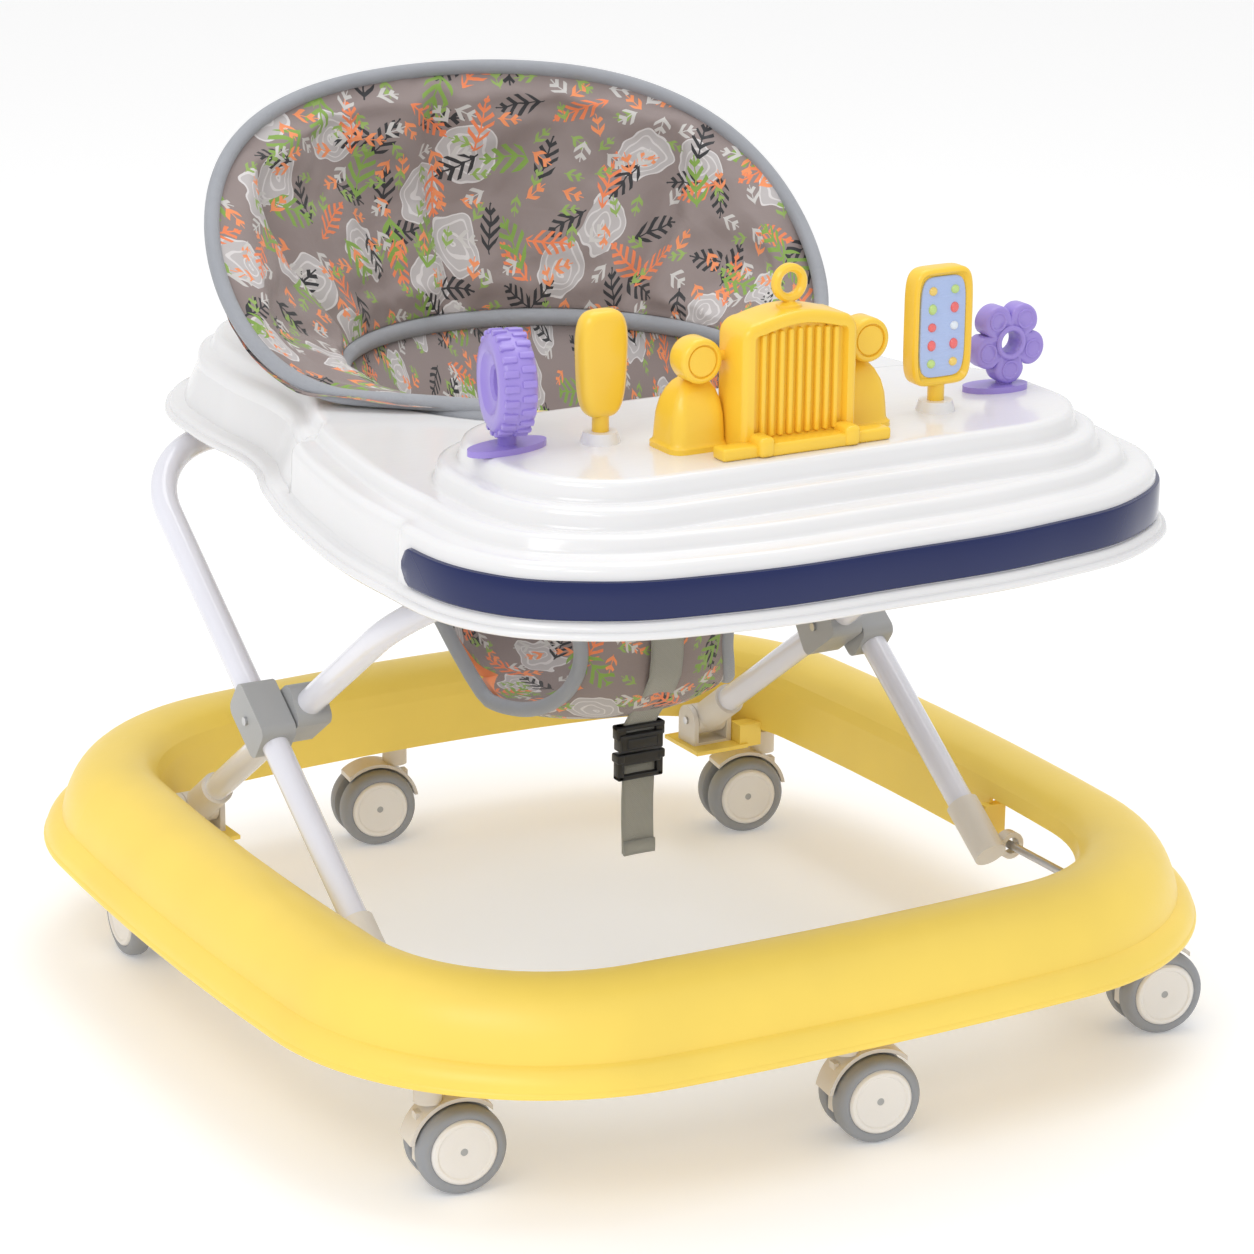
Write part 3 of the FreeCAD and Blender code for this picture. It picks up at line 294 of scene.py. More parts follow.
TRAY_HALF = [(0, -372), (120, -367), (205, -343), (259, -291), (275, -190), (264, -50), (243, 42),
             (222, 110), (221, 205), (207, 285), (160, 346), (80, 370)]
TRAY_STEPS = 26
WELL_BACK, WELL_HALF_X, WELL_HALF_Y = 76, 159, 163
LIP, RIM, STEP, DECK = 378, 424, 435, 462


def smooth_loop(corners, steps):
    """Points along a closed smooth curve through the corners."""
    curve = bpy.data.curves.new("outline", "CURVE")
    spline = curve.splines.new("BEZIER")
    spline.bezier_points.add(len(corners) - 1)
    for point, (x, y) in zip(spline.bezier_points, corners):
        point.co = (x, y, 0)
        point.handle_left_type = point.handle_right_type = "AUTO"
    spline.use_cyclic_u = True
    curve.resolution_u = steps
    carrier = bpy.data.objects.new("outline", curve)
    mesh = bpy.data.meshes.new_from_object(carrier)
    points = [vertex.co.copy() for vertex in mesh.vertices]
    bpy.data.objects.remove(carrier)
    bpy.data.meshes.remove(mesh)
    return points


def inwards(points):
    """The inward direction at each point of a closed outline."""
    count = len(points)
    ways = []
    for i in range(count):
        along = (points[(i + 1) % count] - points[i - 1]).normalized()
        ways.append(Vector((-along.y, along.x, 0)))
    return ways


def rows_of(bm, rows):
    """Skin a stack of closed rows of equal length: each is extruded from the last."""
    place = bm.verts.layers.int.get("place") or bm.verts.layers.int.new("place")
    verts = [bm.verts.new(point) for point in rows[0]]
    for i, vert in enumerate(verts):
        vert[place] = i
    edges = [bm.edges.new((verts[i - 1], verts[i])) for i in range(len(verts))]
    first = list(edges)
    for row in rows[1:]:
        made = bmesh.ops.extrude_edge_only(bm, edges=edges)["geom"]
        edges = [item for item in made if isinstance(item, bmesh.types.BMEdge)]
        row_verts = {vert for item in edges for vert in item.verts}
        for vert in made:
            if isinstance(vert, bmesh.types.BMVert):
                vert.co = row[vert[place]]
                row_verts.discard(vert)
        edges = [item for item in edges if item.is_boundary]
    return first, edges


def smooth_between(low, high, value):
    share = min(max((value - low) / (high - low), 0), 1)
    return share * share * (3 - 2 * share)


def wall_recess(y):
    """How far the wall stands back: most behind the waist, a little on the side panel."""
    return 11 * smooth_between(8, 26, y) + 4 * smooth_between(-206, -192, y)


def ellipse_row(half_x, half_y, back, height, count=96):
    return [Vector((half_x * math.cos(math.tau * i / count), back + half_y * math.sin(math.tau * i / count),
                    height)) for i in range(count)]


def rounded_row(half_x, half_y, middle, radius, height, arc=14):
    """A rectangle's outline with rounded corners."""
    row = []
    for corner in range(4):
        centre_x = (half_x - radius) * (1 if corner in (0, 3) else -1)
        centre_y = middle + (half_y - radius) * (1 if corner in (0, 1) else -1)
        for i in range(arc + 1):
            angle = math.radians(90 * corner + 90 * i / arc)
            row.append(Vector((centre_x + radius * math.cos(angle), centre_y + radius * math.sin(angle),
                               height)))
    return row


def deck_rows(steps):
    """Rows of the toy deck: inset from its foot, and height."""
    return [rounded_row(226 - inset, 108 - inset, -212, 90 - inset, height)
            for inset, height in steps]


tray_edge = smooth_loop(TRAY_HALF + [(0, 373)] + [(-x, y) for x, y in reversed(TRAY_HALF[1:])], TRAY_STEPS)
tray_in = inwards(tray_edge)


def tray_row(inset, height, recess=0.0):
    return [point + way * (inset + recess * wall_recess(point.y)) + Vector((0, 0, height))
            for point, way in zip(tray_edge, tray_in)]


bm = bmesh.new()
outer_rows = [tray_row(12, RIM - 4, 1), tray_row(11, LIP + 2), tray_row(4, LIP), tray_row(1, LIP + 0.6),
              tray_row(0, LIP + 2.2), tray_row(0.6, LIP + 4.2), tray_row(2.4, LIP + 5.2),
              tray_row(3.6, LIP + 5.4), tray_row(3.8, LIP + 6.6), tray_row(4.6, LIP + 8.6),
              tray_row(6.6, LIP + 9.8), tray_row(8, LIP + 10.4, 0.6), tray_row(8.4, LIP + 13, 1),
              tray_row(9.2, RIM - 8, 1), tray_row(10, RIM - 4, 1), tray_row(12, RIM - 1.4, 1),
              tray_row(15, RIM - 0.2, 1), tray_row(17, RIM, 0.9), tray_row(27, RIM + 0.6, 0.35),
              tray_row(28.6, RIM + 1.2, 0.35), tray_row(30, RIM + 3.4, 0.35), tray_row(31.6, STEP - 3, 0.35),
              tray_row(33.6, STEP - 0.9, 0.35), tray_row(37, STEP, 0.35), tray_row(39, STEP, 0.35)]
_, flat_outer = rows_of(bm, outer_rows)
well_rows = [ellipse_row(WELL_HALF_X + out, WELL_HALF_Y + out, WELL_BACK, height)
             for out, height in ((3, RIM - 12), (0.6, RIM - 14), (0, RIM - 12), (0, STEP - 4),
                                 (1, STEP - 1.4), (3, STEP - 0.2), (5.5, STEP), (7, STEP))]
_, flat_well = rows_of(bm, well_rows)
deck_steps = [(-3, STEP), (-1.4, STEP), (0, STEP + 0.8), (1, STEP + 3), (2, STEP + 9), (3.4, STEP + 12),
              (6.5, STEP + 13.3), (9, STEP + 13.5), (14, STEP + 13.6), (15.4, STEP + 14.4),
              (16.4, STEP + 16.5), (17.4, DECK - 4), (19, DECK - 1.2), (22, DECK - 0.1), (25, DECK),
              (27, DECK)]
flat_deck, deck_top = rows_of(bm, deck_rows(deck_steps))
bmesh.ops.triangle_fill(bm, edges=flat_outer + flat_well + flat_deck, use_beauty=True)
bmesh.ops.triangle_fill(bm, edges=deck_top, use_beauty=True)
tray_white = moulded("tray_white", (0.80, 0.795, 0.80), 0.2, tone=0.015, grain=260, depth=0.05, marks=0.06,
                     coat=0.35, scatter=0.06)
tray_cover = finish_piece(bm, "tray_cover", tray_white, sharp=50, merge=0.02)
ride_as(tray_cover, "tray", "white_plastic", "tray_shell")
dress(tray_white, "toy_collars", "tray_saddles", "slide_tracks")

# --------------------------------------------------------------- navy strip
# A glossy navy strip is let into the tray's wall from one front corner round
# to the other. Its ends are rounded.

STRIP_LOW, STRIP_TALL, STRIP_BACK = 389, 25, -210
strip_path = [(point, way) for point, way in zip(tray_edge, tray_in) if point.y < STRIP_BACK]
split = max(range(len(strip_path)), key=lambda i: (strip_path[i][0] - strip_path[i - 1][0]).length)
strip_path = strip_path[split:] + strip_path[:split]
bm = bmesh.new()
strip_rows = []
ends = len(strip_path) - 1
for i, (point, way) in enumerate(strip_path):
    from_end = min(i, ends - i)
    pull = 8 * (1 - min(from_end / 2.0, 1)) ** 2
    low, high = STRIP_LOW + pull, STRIP_LOW + STRIP_TALL - pull
    column = [point + way * inset + Vector((0, 0, height)) for inset, height in
              ((8.9, low), (6.6, low + 0.5), (6.1, low + 2), (6.0, (low + high) / 2), (6.1, high - 2),
               (6.6, high - 0.5), (9.4, high))]
    strip_rows.append([bm.verts.new(co) for co in column])
for first, second in zip(strip_rows, strip_rows[1:]):
    for a in range(len(first) - 1):
        bm.faces.new((first[a], first[a + 1], second[a + 1], second[a]))
for row in (strip_rows[0], strip_rows[-1]):
    bm.faces.new(row)
bmesh.ops.holes_fill(bm, edges=[edge for edge in bm.edges if edge.is_boundary])
navy_gloss = moulded("navy_gloss", (0.004, 0.012, 0.085), 0.12, tone=0.05, grain=40, depth=0.2, marks=0.02,
                     coat=0.3)
navy_gloss.node_tree.nodes["Principled BSDF"].inputs["Specular IOR Level"].default_value = 0.3
strip = finish_piece(bm, "navy_strip", navy_gloss, sharp=60)
ride_as(strip, "tray", "navy_trim", "trim_strip")

# ------------------------------------------------------------------- fabric
# Printed polyester: a taupe ground with sprigs of leaves, ferns and soft pale
# pebbles in rows, all generic. The cloth's weave and small puckers are bumps.


def make_weave():
    """Height of a plain weave on a piece's own map, which is in metres."""
    group, start, end = new_group("weave", [("Pitch", "NodeSocketFloat", 0.0006)],
                                  [("Height", "NodeSocketFloat")])
    place = add_node(group, "UVMap").outputs["UV"]
    inverse = maths(group, "DIVIDE", math.tau, start.outputs["Pitch"])
    split_map = add_node(group, "SeparateXYZ", {"Vector": place})
    threads = []
    for axis in ("X", "Y"):
        turns = maths(group, "MULTIPLY", split_map.outputs[axis], inverse)
        threads.append(maths(group, "SINE", turns))
    both = maths(group, "MULTIPLY", threads[0], threads[1])
    group.links.new(both, end.inputs["Height"])
    return group


def make_sprig():
    """One layer of print: a sprig of paired leaves in each cell of a jittered grid."""
    group, start, end = new_group(
        "sprig", [("Scale", "NodeSocketFloat", 18), ("Shift", "NodeSocketFloat", 0),
                  ("Leaves", "NodeSocketFloat", 30), ("Length", "NodeSocketFloat", 0.36),
                  ("Width", "NodeSocketFloat", 0.2), ("Share", "NodeSocketFloat", 0.5)],
        [("Mask", "NodeSocketFloat"), ("Random", "NodeSocketColor")])
    place = add_node(group, "UVMap").outputs["UV"]
    moved = maths(group, "ADD", place, start.outputs["Shift"], "VectorMath")
    cells = add_node(group, "TexVoronoi", {"Vector": moved, "Scale": start.outputs["Scale"],
                                           "Randomness": 0.7}, voronoi_dimensions="2D")
    scaled = add_node(group, "VectorMath", {0: moved}, operation="SCALE")
    group.links.new(start.outputs["Scale"], scaled.inputs["Scale"])
    centre = add_node(group, "VectorMath", {0: cells.outputs["Position"]}, operation="SCALE")
    group.links.new(start.outputs["Scale"], centre.inputs["Scale"])
    local = add_node(group, "VectorMath", {0: scaled.outputs[0], 1: centre.outputs[0]},
                     operation="SUBTRACT").outputs[0]
    chance = add_node(group, "SeparateColor", {"Color": cells.outputs["Color"]})
    angle = maths(group, "MULTIPLY", chance.outputs["Red"], math.tau)
    turned = add_node(group, "VectorRotate", {"Vector": local, "Angle": angle}, rotation_type="Z_AXIS").outputs[0]
    wobble = add_node(group, "TexNoise", {"Vector": moved, "Scale": 90, "Detail": 1}).outputs["Fac"]
    parts = add_node(group, "SeparateXYZ", {"Vector": turned})
    sway = maths(group, "MULTIPLY", maths(group, "SUBTRACT", wobble, 0.5), 0.10)
    along, side = parts.outputs["Y"], maths(group, "ADD", parts.outputs["X"], sway)
    side = maths(group, "ABSOLUTE", side)
    share = maths(group, "DIVIDE", along, start.outputs["Length"])
    taper = maths(group, "SUBTRACT", 1.0, maths(group, "MULTIPLY", share, share))
    edge = maths(group, "SUBTRACT", maths(group, "MULTIPLY", taper, start.outputs["Width"]), side)
    inside = maths(group, "GREATER_THAN", edge, 0.0)
    wave = maths(group, "SINE", maths(group, "SUBTRACT", maths(group, "MULTIPLY", along, start.outputs["Leaves"]),
                               maths(group, "MULTIPLY", side, start.outputs["Leaves"])))
    leaf = maths(group, "GREATER_THAN", wave, 0.15)
    stem = maths(group, "LESS_THAN", side, 0.014)
    drawn = maths(group, "MULTIPLY", maths(group, "MAXIMUM", leaf, stem), inside)
    chosen = maths(group, "LESS_THAN", chance.outputs["Green"], start.outputs["Share"])
    group.links.new(maths(group, "MULTIPLY", drawn, chosen), end.inputs["Mask"])
    group.links.new(cells.outputs["Color"], end.inputs["Random"])
    return group


def make_pebbles():
    """Soft pale pebbles with a darker rim, scattered on the ground of the print."""
    group, start, end = new_group("pebbles", [("Scale", "NodeSocketFloat", 14), ("Shift", "NodeSocketFloat", 0)],
                                  [("Mask", "NodeSocketFloat"), ("Lines", "NodeSocketFloat")])
    place = add_node(group, "UVMap").outputs["UV"]
    noise = add_node(group, "TexNoise", {"Vector": place, "Scale": 45, "Detail": 1}).outputs["Color"]
    bent = maths(group, "SUBTRACT", noise, (0.5, 0.5, 0.5), "VectorMath")
    small = maths(group, "MULTIPLY", bent, (0.022, 0.022, 0), "VectorMath")
    moved = maths(group, "ADD", place, start.outputs["Shift"], "VectorMath")
    warped = maths(group, "ADD", moved, small, "VectorMath")
    cells = add_node(group, "TexVoronoi", {"Vector": warped, "Scale": start.outputs["Scale"],
                                           "Randomness": 0.75}, voronoi_dimensions="2D")
    far = cells.outputs["Distance"]
    chance = add_node(group, "SeparateColor", {"Color": cells.outputs["Color"]}).outputs["Blue"]
    chosen = maths(group, "LESS_THAN", chance, 0.62)
    body = maths(group, "MULTIPLY", maths(group, "LESS_THAN", far, 0.34), chosen)
    ripple = maths(group, "SINE", maths(group, "MULTIPLY", far, 62.0))
    lines = maths(group, "MULTIPLY", maths(group, "GREATER_THAN", ripple, 0.75), body)
    group.links.new(body, end.inputs["Mask"])
    group.links.new(lines, end.inputs["Lines"])
    return group


weave, sprig, pebbles = make_weave(), make_sprig(), make_pebbles()


def cloth_finish(tree, shader, colour_socket, pitch, depth, pucker, fuzz):
    """Weave, puckers and a soft sheen on a cloth material."""
    threads = tree.nodes.new("ShaderNodeGroup")
    threads.node_tree = weave
    threads.inputs["Pitch"].default_value = pitch
    place = add_node(tree, "TexCoord").outputs["Object"]
    slow = add_node(tree, "TexNoise", {"Vector": place, "Scale": 38, "Detail": 3, "Distortion": 0.6}).outputs["Fac"]
    low = add_node(tree, "Bump", {"Strength": pucker, "Distance": 0.004, "Height": slow}).outputs["Normal"]
    fine = add_node(tree, "Bump", {"Strength": depth, "Distance": 0.0003,
                                   "Height": threads.outputs["Height"], "Normal": low}).outputs["Normal"]
    tree.links.new(fine, shader.inputs["Normal"])
    tree.links.new(colour_socket, shader.inputs["Base Color"])
    shader.inputs["Roughness"].default_value = 0.62
    shader.inputs["Sheen Weight"].default_value = fuzz
    shader.inputs["Sheen Roughness"].default_value = 0.4


def plain_cloth(name, colour, pitch=0.0007, depth=0.5, pucker=0.25, fuzz=0.25):
    material = bpy.data.materials.new(name)
    material.use_nodes = True
    tree = material.node_tree
    place = add_node(tree, "TexCoord").outputs["Object"]
    slow = add_node(tree, "TexNoise", {"Vector": place, "Scale": 25, "Detail": 4}).outputs["Fac"]
    tone = add_node(tree, "MapRange", {"Value": slow, "To Min": 0.9, "To Max": 1.1}).outputs["Result"]
    tint = add_node(tree, "HueSaturation", {"Color": (*colour, 1), "Value": tone}).outputs["Color"]
    cloth_finish(tree, tree.nodes["Principled BSDF"], tint, pitch, depth, pucker, fuzz)
    return material


def printed_cloth():
    material = bpy.data.materials.new("printed_polyester")
    material.use_nodes = True
    tree = material.node_tree
    colour = add_node(tree, "RGB").outputs[0]
    colour.default_value = (0.29, 0.235, 0.225, 1)

    def layer(base, mask, paint):
        mix = add_node(tree, "Mix", data_type="RGBA")
        tree.links.new(mask, mix.inputs["Factor"])
        tree.links.new(base, mix.inputs["A"])
        mix.inputs["B"].default_value = (*paint, 1)
        return mix.outputs["Result"]

    stones = tree.nodes.new("ShaderNodeGroup")
    stones.node_tree = pebbles
    stones.inputs["Scale"].default_value = 17
    colour = layer(colour, stones.outputs["Mask"], (0.52, 0.49, 0.49))
    colour = layer(colour, stones.outputs["Lines"], (0.70, 0.67, 0.67))
    for scale, shift, leaves, length, width, share, paint in (
            (23, 0.31, 34, 0.42, 0.20, 0.62, (0.028, 0.028, 0.032)),
            (20, 0.57, 42, 0.44, 0.17, 0.55, (0.88, 0.24, 0.095)),
            (21, 0.83, 30, 0.44, 0.24, 0.56, (0.24, 0.40, 0.075)),
            (38, 0.19, 20, 0.34, 0.20, 0.52, (0.90, 0.30, 0.12)),
            (42, 0.71, 22, 0.34, 0.18, 0.48, (0.30, 0.45, 0.11)),
            (36, 0.43, 22, 0.30, 0.22, 0.45, (0.62, 0.60, 0.58))):
        twig = tree.nodes.new("ShaderNodeGroup")
        twig.node_tree = sprig
        for label, value in (("Scale", scale), ("Shift", shift), ("Leaves", leaves), ("Length", length),
                             ("Width", width), ("Share", share)):
            twig.inputs[label].default_value = value
        colour = layer(colour, twig.outputs["Mask"], paint)
    cloth_finish(tree, tree.nodes["Principled BSDF"], colour, 0.0007, 0.35, 0.35, 0.2)
    return material


print_fabric = printed_cloth()
grey_binding = plain_cloth("grey_binding", (0.36, 0.375, 0.41), pucker=0.5)
sage_webbing = plain_cloth("sage_webbing", (0.37, 0.365, 0.32), pitch=0.0016, depth=0.9, pucker=0.1)

# ---------------------------------------------------------------- seat back
# The padded back stands on the rear half of the well and flares outwards to an
# arched rim. Two side seams and a middle seam divide its filling.

RIM_TURN, BACK_COLUMNS, BACK_ROWS = 128, 120, 30
BACK_THICK, SEAT_FOOT = 22, 438
SEAMS = (-52, 0, 52)


def rim_point(turn):
    """The arched rim at an angle from the middle of the back, in degrees."""
    angle = math.radians(turn)
    fall = 1 - math.cos(angle)
    return Vector((232 * math.sin(angle), 122 + 145 * math.cos(angle),
                   613.6 - 56.2 * fall - 71.6 * fall ** 2 + 15.6 * fall ** 4))


def foot_point(turn):
    """Where the back meets the seat at the edge of the well."""
    angle = math.radians(turn)
    return Vector((147 * math.sin(angle), WELL_BACK + 152 * math.cos(angle), SEAT_FOOT))


def back_point(turn, share):
    """A point of the back's middle surface, from foot (0) to rim (1)."""
    foot, rim = foot_point(turn), rim_point(turn)
    point = foot.lerp(rim, share)
    bulge = 16 * math.sin(math.pi * share) * min((rim - foot).length / 150, 1)
    outwards = Vector((math.sin(math.radians(turn)), math.cos(math.radians(turn)), 0))
    return point + outwards * bulge


def seam_depth(turn, share):
    """How full the filling is: none in a seam, full between seams."""
    nearest = min(abs(turn - seam) for seam in SEAMS)
    fall = 1 if share < 0.62 else smooth_between(1.0, 0.62, share)
    side = 1 - (1 - smooth_between(0, 7, nearest)) * fall * 0.85
    ends = smooth_between(RIM_TURN, RIM_TURN - 14, abs(turn))
    return side * ends * smooth_between(0.0, 0.14, share) * smooth_between(1.0, 0.86, share)


bm = bmesh.new()
uv = bm.loops.layers.uv.new("cloth")
sheets = []
for face_way in (-1, 1):
    grid = []
    for i in range(BACK_COLUMNS + 1):
        turn = RIM_TURN * (2 * i / BACK_COLUMNS - 1)
        outwards = Vector((math.sin(math.radians(turn)), math.cos(math.radians(turn)), 0))
        column = []
        for j in range(BACK_ROWS + 1):
            share = j / BACK_ROWS
            full = seam_depth(turn, share)
            thick = (BACK_THICK * 0.55 if face_way < 0 else BACK_THICK * 0.3) * full
            edge = 0 if j in (0, BACK_ROWS) or i in (0, BACK_COLUMNS) else 1.2
            column.append(bm.verts.new(back_point(turn, share) + outwards * face_way * (thick + edge)))
        grid.append(column)
    sheets.append(grid)
for way, grid in zip((-1, 1), sheets):
    for i in range(BACK_COLUMNS):
        for j in range(BACK_ROWS):
            corners = [(i, j), (i + 1, j), (i + 1, j + 1), (i, j + 1)]
            face = bm.faces.new([grid[a][b] for a, b in corners])
            for loop, (a, b) in zip(face.loops, corners):
                turn = RIM_TURN * (2 * a / BACK_COLUMNS - 1)
                tall = (rim_point(turn) - foot_point(turn)).length
                loop[uv].uv = (0.0034 * turn + 2, 0.001 * tall * b / BACK_ROWS + way * 0.4 + 2)
seat_back = finish_piece(bm, "seat_back_pad", print_fabric, sharp=180, merge=0.05)


def puff(piece, pressure, cap, held, frames=16):
    """Blow a padded piece up with the cloth solver; held says how fixed a point is."""
    pins = piece.vertex_groups.new(name="held")
    before = [vertex.co.copy() for vertex in piece.data.vertices]
    for index, co in enumerate(before):
        pins.add([index], held(co), "REPLACE")
    cloth = piece.modifiers.new("filling", "CLOTH")
    settings = cloth.settings
    settings.vertex_group_mass = "held"
    settings.use_pressure = True
    settings.uniform_pressure_force = pressure
    settings.effector_weights.gravity = 0
    settings.quality = 5
    settings.tension_stiffness = settings.compression_stiffness = 12
    settings.shear_stiffness = 6
    settings.bending_stiffness = 0.4
    settings.pin_stiffness = 1
    settings.shrink_min = -0.035
    for number in range(1, frames + 1):
        bpy.context.scene.frame_set(number)
    graph = bpy.context.evaluated_depsgraph_get()
    moved = [vertex.co.copy() for vertex in piece.evaluated_get(graph).to_mesh().vertices]
    piece.modifiers.remove(cloth)
    piece.vertex_groups.clear()
    bpy.context.scene.frame_set(1)
    for vertex, start_co, end_co in zip(piece.data.vertices, before, moved):
        step = end_co - start_co
        vertex.co = start_co + (step.normalized() * min(step.length, cap) if step.length > 0 else step)


def back_held(co):
    """The rim, foot, ends and seams of the back keep their places."""
    turn = math.degrees(math.atan2(co.x / 0.19, (co.y - 0.1) / 0.148))
    low, high = foot_point(turn).z * MM, rim_point(turn).z * MM
    share = (co.z - low) / max(high - low, 0.001)
    free = smooth_between(0.0, 0.12, share) * smooth_between(1.0, 0.9, share)
    free *= smooth_between(RIM_TURN - 2, RIM_TURN - 16, abs(turn))
    return 1 - 0.97 * free


puff(seat_back, 2.2, 0.007, back_held)
smoother = seat_back.modifiers.new("smooth", "SUBSURF")
smoother.levels = smoother.render_levels = 1


def tube_along(name, points, radius, material, closed=False):
    """A round cloth tube along points, with a map in metres."""
    curve = bpy.data.curves.new(name, "CURVE")
    curve.dimensions = "3D"
    spline = curve.splines.new("NURBS")
    spline.points.add(len(points) - 1)
    for slot_point, point in zip(spline.points, points):
        slot_point.co = (*(point * MM), 1)
    spline.use_cyclic_u = closed
    spline.use_endpoint_u = not closed
    spline.order_u = 3
    curve.bevel_depth = radius * MM
    curve.bevel_resolution = 5
    curve.use_fill_caps = True
    curve.resolution_u = 3
    carrier = bpy.data.objects.new(name, curve)
    mesh = bpy.data.meshes.new_from_object(carrier)
    bpy.data.objects.remove(carrier)
    mesh.name = name
    mesh.polygons.foreach_set("use_smooth", [True] * len(mesh.polygons))
    mesh.materials.clear()
    mesh.materials.append(material)
    if not mesh.uv_layers:
        mesh.uv_layers.new(name="cloth")
    for loop in mesh.loops:
        co = mesh.vertices[loop.vertex_index].co
        mesh.uv_layers[0].data[loop.index].uv = (co.x + co.y, co.z)
    piece = bpy.data.objects.new(name, mesh)
    bpy.context.scene.collection.objects.link(piece)
    return piece


rim_turns = [RIM_TURN * (2 * i / 72 - 1) for i in range(73)]
binding_line = [rim_point(turn) for turn in rim_turns]
for way in (-1, 1):
    tail = [foot_point(way * turn) + Vector((0, 0, 2)) for turn in (RIM_TURN - 2, RIM_TURN + 8)]
    binding_line = binding_line + tail if way > 0 else tail[::-1] + binding_line
back_binding = tube_along("back_binding", binding_line, 5.4, grey_binding)
for piece in (seat_back, back_binding):
    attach(piece, "tray")
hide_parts("seat_back")

# --------------------------------------------------------------- seat sling
# The sling is a padded fabric bowl hung in the well, with a leg hole at each
# side of its front bound in grey, and a padded lip round its top.

SLING_ROWS, SLING_COLUMNS = 22, 96
SLING_LEVELS = ((212, 0, 0, 10), (212.4, 26, 20, 10), (214, 52, 38, 10), (219, 76, 58, 10),
                (229, 93, 73, 10), (246, 102, 83, 12), (280, 111, 97, 22), (431, 149, 153, 76))
LEG_SIDE, LEG_BACK, LEG_HEIGHT, LEG_RADIUS = 68, 56, 270, 50


def sling_row(share):
    """Height, half width, half length and place of the bowl at a share of its depth."""
    along = share * (len(SLING_LEVELS) - 1)
    first = min(int(along), len(SLING_LEVELS) - 2)
    rest = along - first
    return [a + (b - a) * rest for a, b in zip(SLING_LEVELS[first], SLING_LEVELS[first + 1])]


bm = bmesh.new()
uv = bm.loops.layers.uv.new("cloth")
columns = []
shares = [0.02] + [(i + 1) / SLING_ROWS for i in range(SLING_ROWS)]
for i in range(SLING_COLUMNS):
    angle = math.tau * i / SLING_COLUMNS
    column = []
    for share in shares:
        height, wide, long, back = sling_row(share)
        column.append(bm.verts.new((wide * math.sin(angle), back - long * math.cos(angle), height)))
    columns.append(column)
for i in range(SLING_COLUMNS):
    here, there = columns[i], columns[(i + 1) % SLING_COLUMNS]
    for j in range(len(here) - 1):
        face = bm.faces.new((here[j], there[j], there[j + 1], here[j + 1]))
        for loop, (a, b) in zip(face.loops, ((0, j), (1, j), (1, j + 1), (0, j + 1))):
            reach = sum(sling_row(shares[b])[1:3]) / 2 * MM + abs(sling_row(shares[b])[0] - 212) * MM * 0.9
            angle = math.tau * (i + a) / SLING_COLUMNS
            loop[uv].uv = (reach * math.sin(angle) + 4, reach * math.cos(angle) + 4)
bmesh.ops.contextual_create(bm, geom=[edge for edge in bm.edges if edge.is_boundary
                                      and edge.verts[0].co.z < 230])
sling = finish_piece(bm, "seat_sling_pad", print_fabric, sharp=180, merge=0.05)
shell = sling.modifiers.new("padding", "SOLIDIFY")
shell.thickness, shell.offset = 0.006, -1


def evaluated(piece):
    """A piece's mesh with its modifiers applied."""
    graph = bpy.context.evaluated_depsgraph_get()
    mesh = bpy.data.meshes.new_from_object(piece.evaluated_get(graph))
    piece.modifiers.clear()
    piece.data = mesh
    return mesh


sling_surface = BVHTree.FromObject(sling, bpy.context.evaluated_depsgraph_get())
cutters = []
leg_bindings = []
for side in (-1, 1):
    way = Vector((side * 0.35, -1, 0)).normalized()
    start = Vector((side * LEG_SIDE, LEG_BACK, LEG_HEIGHT))
    across = way.cross(Vector((0, 0, 1))).normalized()
    circle = [start + LEG_RADIUS * (math.cos(math.tau * i / 40) * across
                                    + math.sin(math.tau * i / 40) * Vector((0, 0, 1))) for i in range(40)]
    bm = bmesh.new()
    bmesh.ops.create_circle(bm, segments=48, radius=LEG_RADIUS * MM, cap_ends=True)
    bmesh.ops.rotate(bm, verts=bm.verts, matrix=way.to_track_quat("Z", "Y").to_matrix())
    bmesh.ops.translate(bm, verts=bm.verts, vec=start * MM)
    grown = bmesh.ops.extrude_face_region(bm, geom=bm.faces[:])["geom"]
    bmesh.ops.translate(bm, verts=[v for v in grown if isinstance(v, bmesh.types.BMVert)], vec=way * 0.2)
    cutters.append(finish_piece(bm, f"leg_cutter_{side + 2}", print_fabric, scale=1, merge=1e-6))
    loop_points = []
    for point in circle:
        hit = sling_surface.ray_cast((point + way * 200) * MM, -way)[0]
        if hit:
            loop_points.append(hit / MM)
    leg_bindings.append(tube_along(f"leg_binding_{'left' if side < 0 else 'right'}", loop_points, 5.2,
                                   grey_binding, closed=True))
for cutter in cutters:
    hole = sling.modifiers.new("leg_hole", "BOOLEAN")
    hole.object = cutter
    hole.solver = "EXACT"
evaluated(sling)
for cutter in cutters:
    bpy.data.objects.remove(cutter)
lip_ring = ellipse_row(149, 154, WELL_BACK, 433, 72)
seat_lip = tube_along("seat_lip", lip_ring, 6.5, grey_binding, closed=True)
piping_yellow = plain_cloth("piping_yellow", (0.78, 0.62, 0.26))
front_ring = [point + Vector((0, -3, 5)) for point in ellipse_row(148, 153, WELL_BACK, 433, 120)
              if point.y < -25]
front_ring.sort(key=lambda point: point.x)
front_piping = tube_along("front_piping", front_ring, 3.2, piping_yellow)
for piece in [sling, seat_lip, front_piping] + leg_bindings:
    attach(piece, "tray")
    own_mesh(piece)
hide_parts("seat_sling")

# --------------------------------------------------------- strap and buckle
# Ribbed webbing comes down the front of the bowl to a black slide buckle, and
# its loose tail hangs below with a folded, stitched end.

STRAP_WIDE, STRAP_THICK = 25, 2


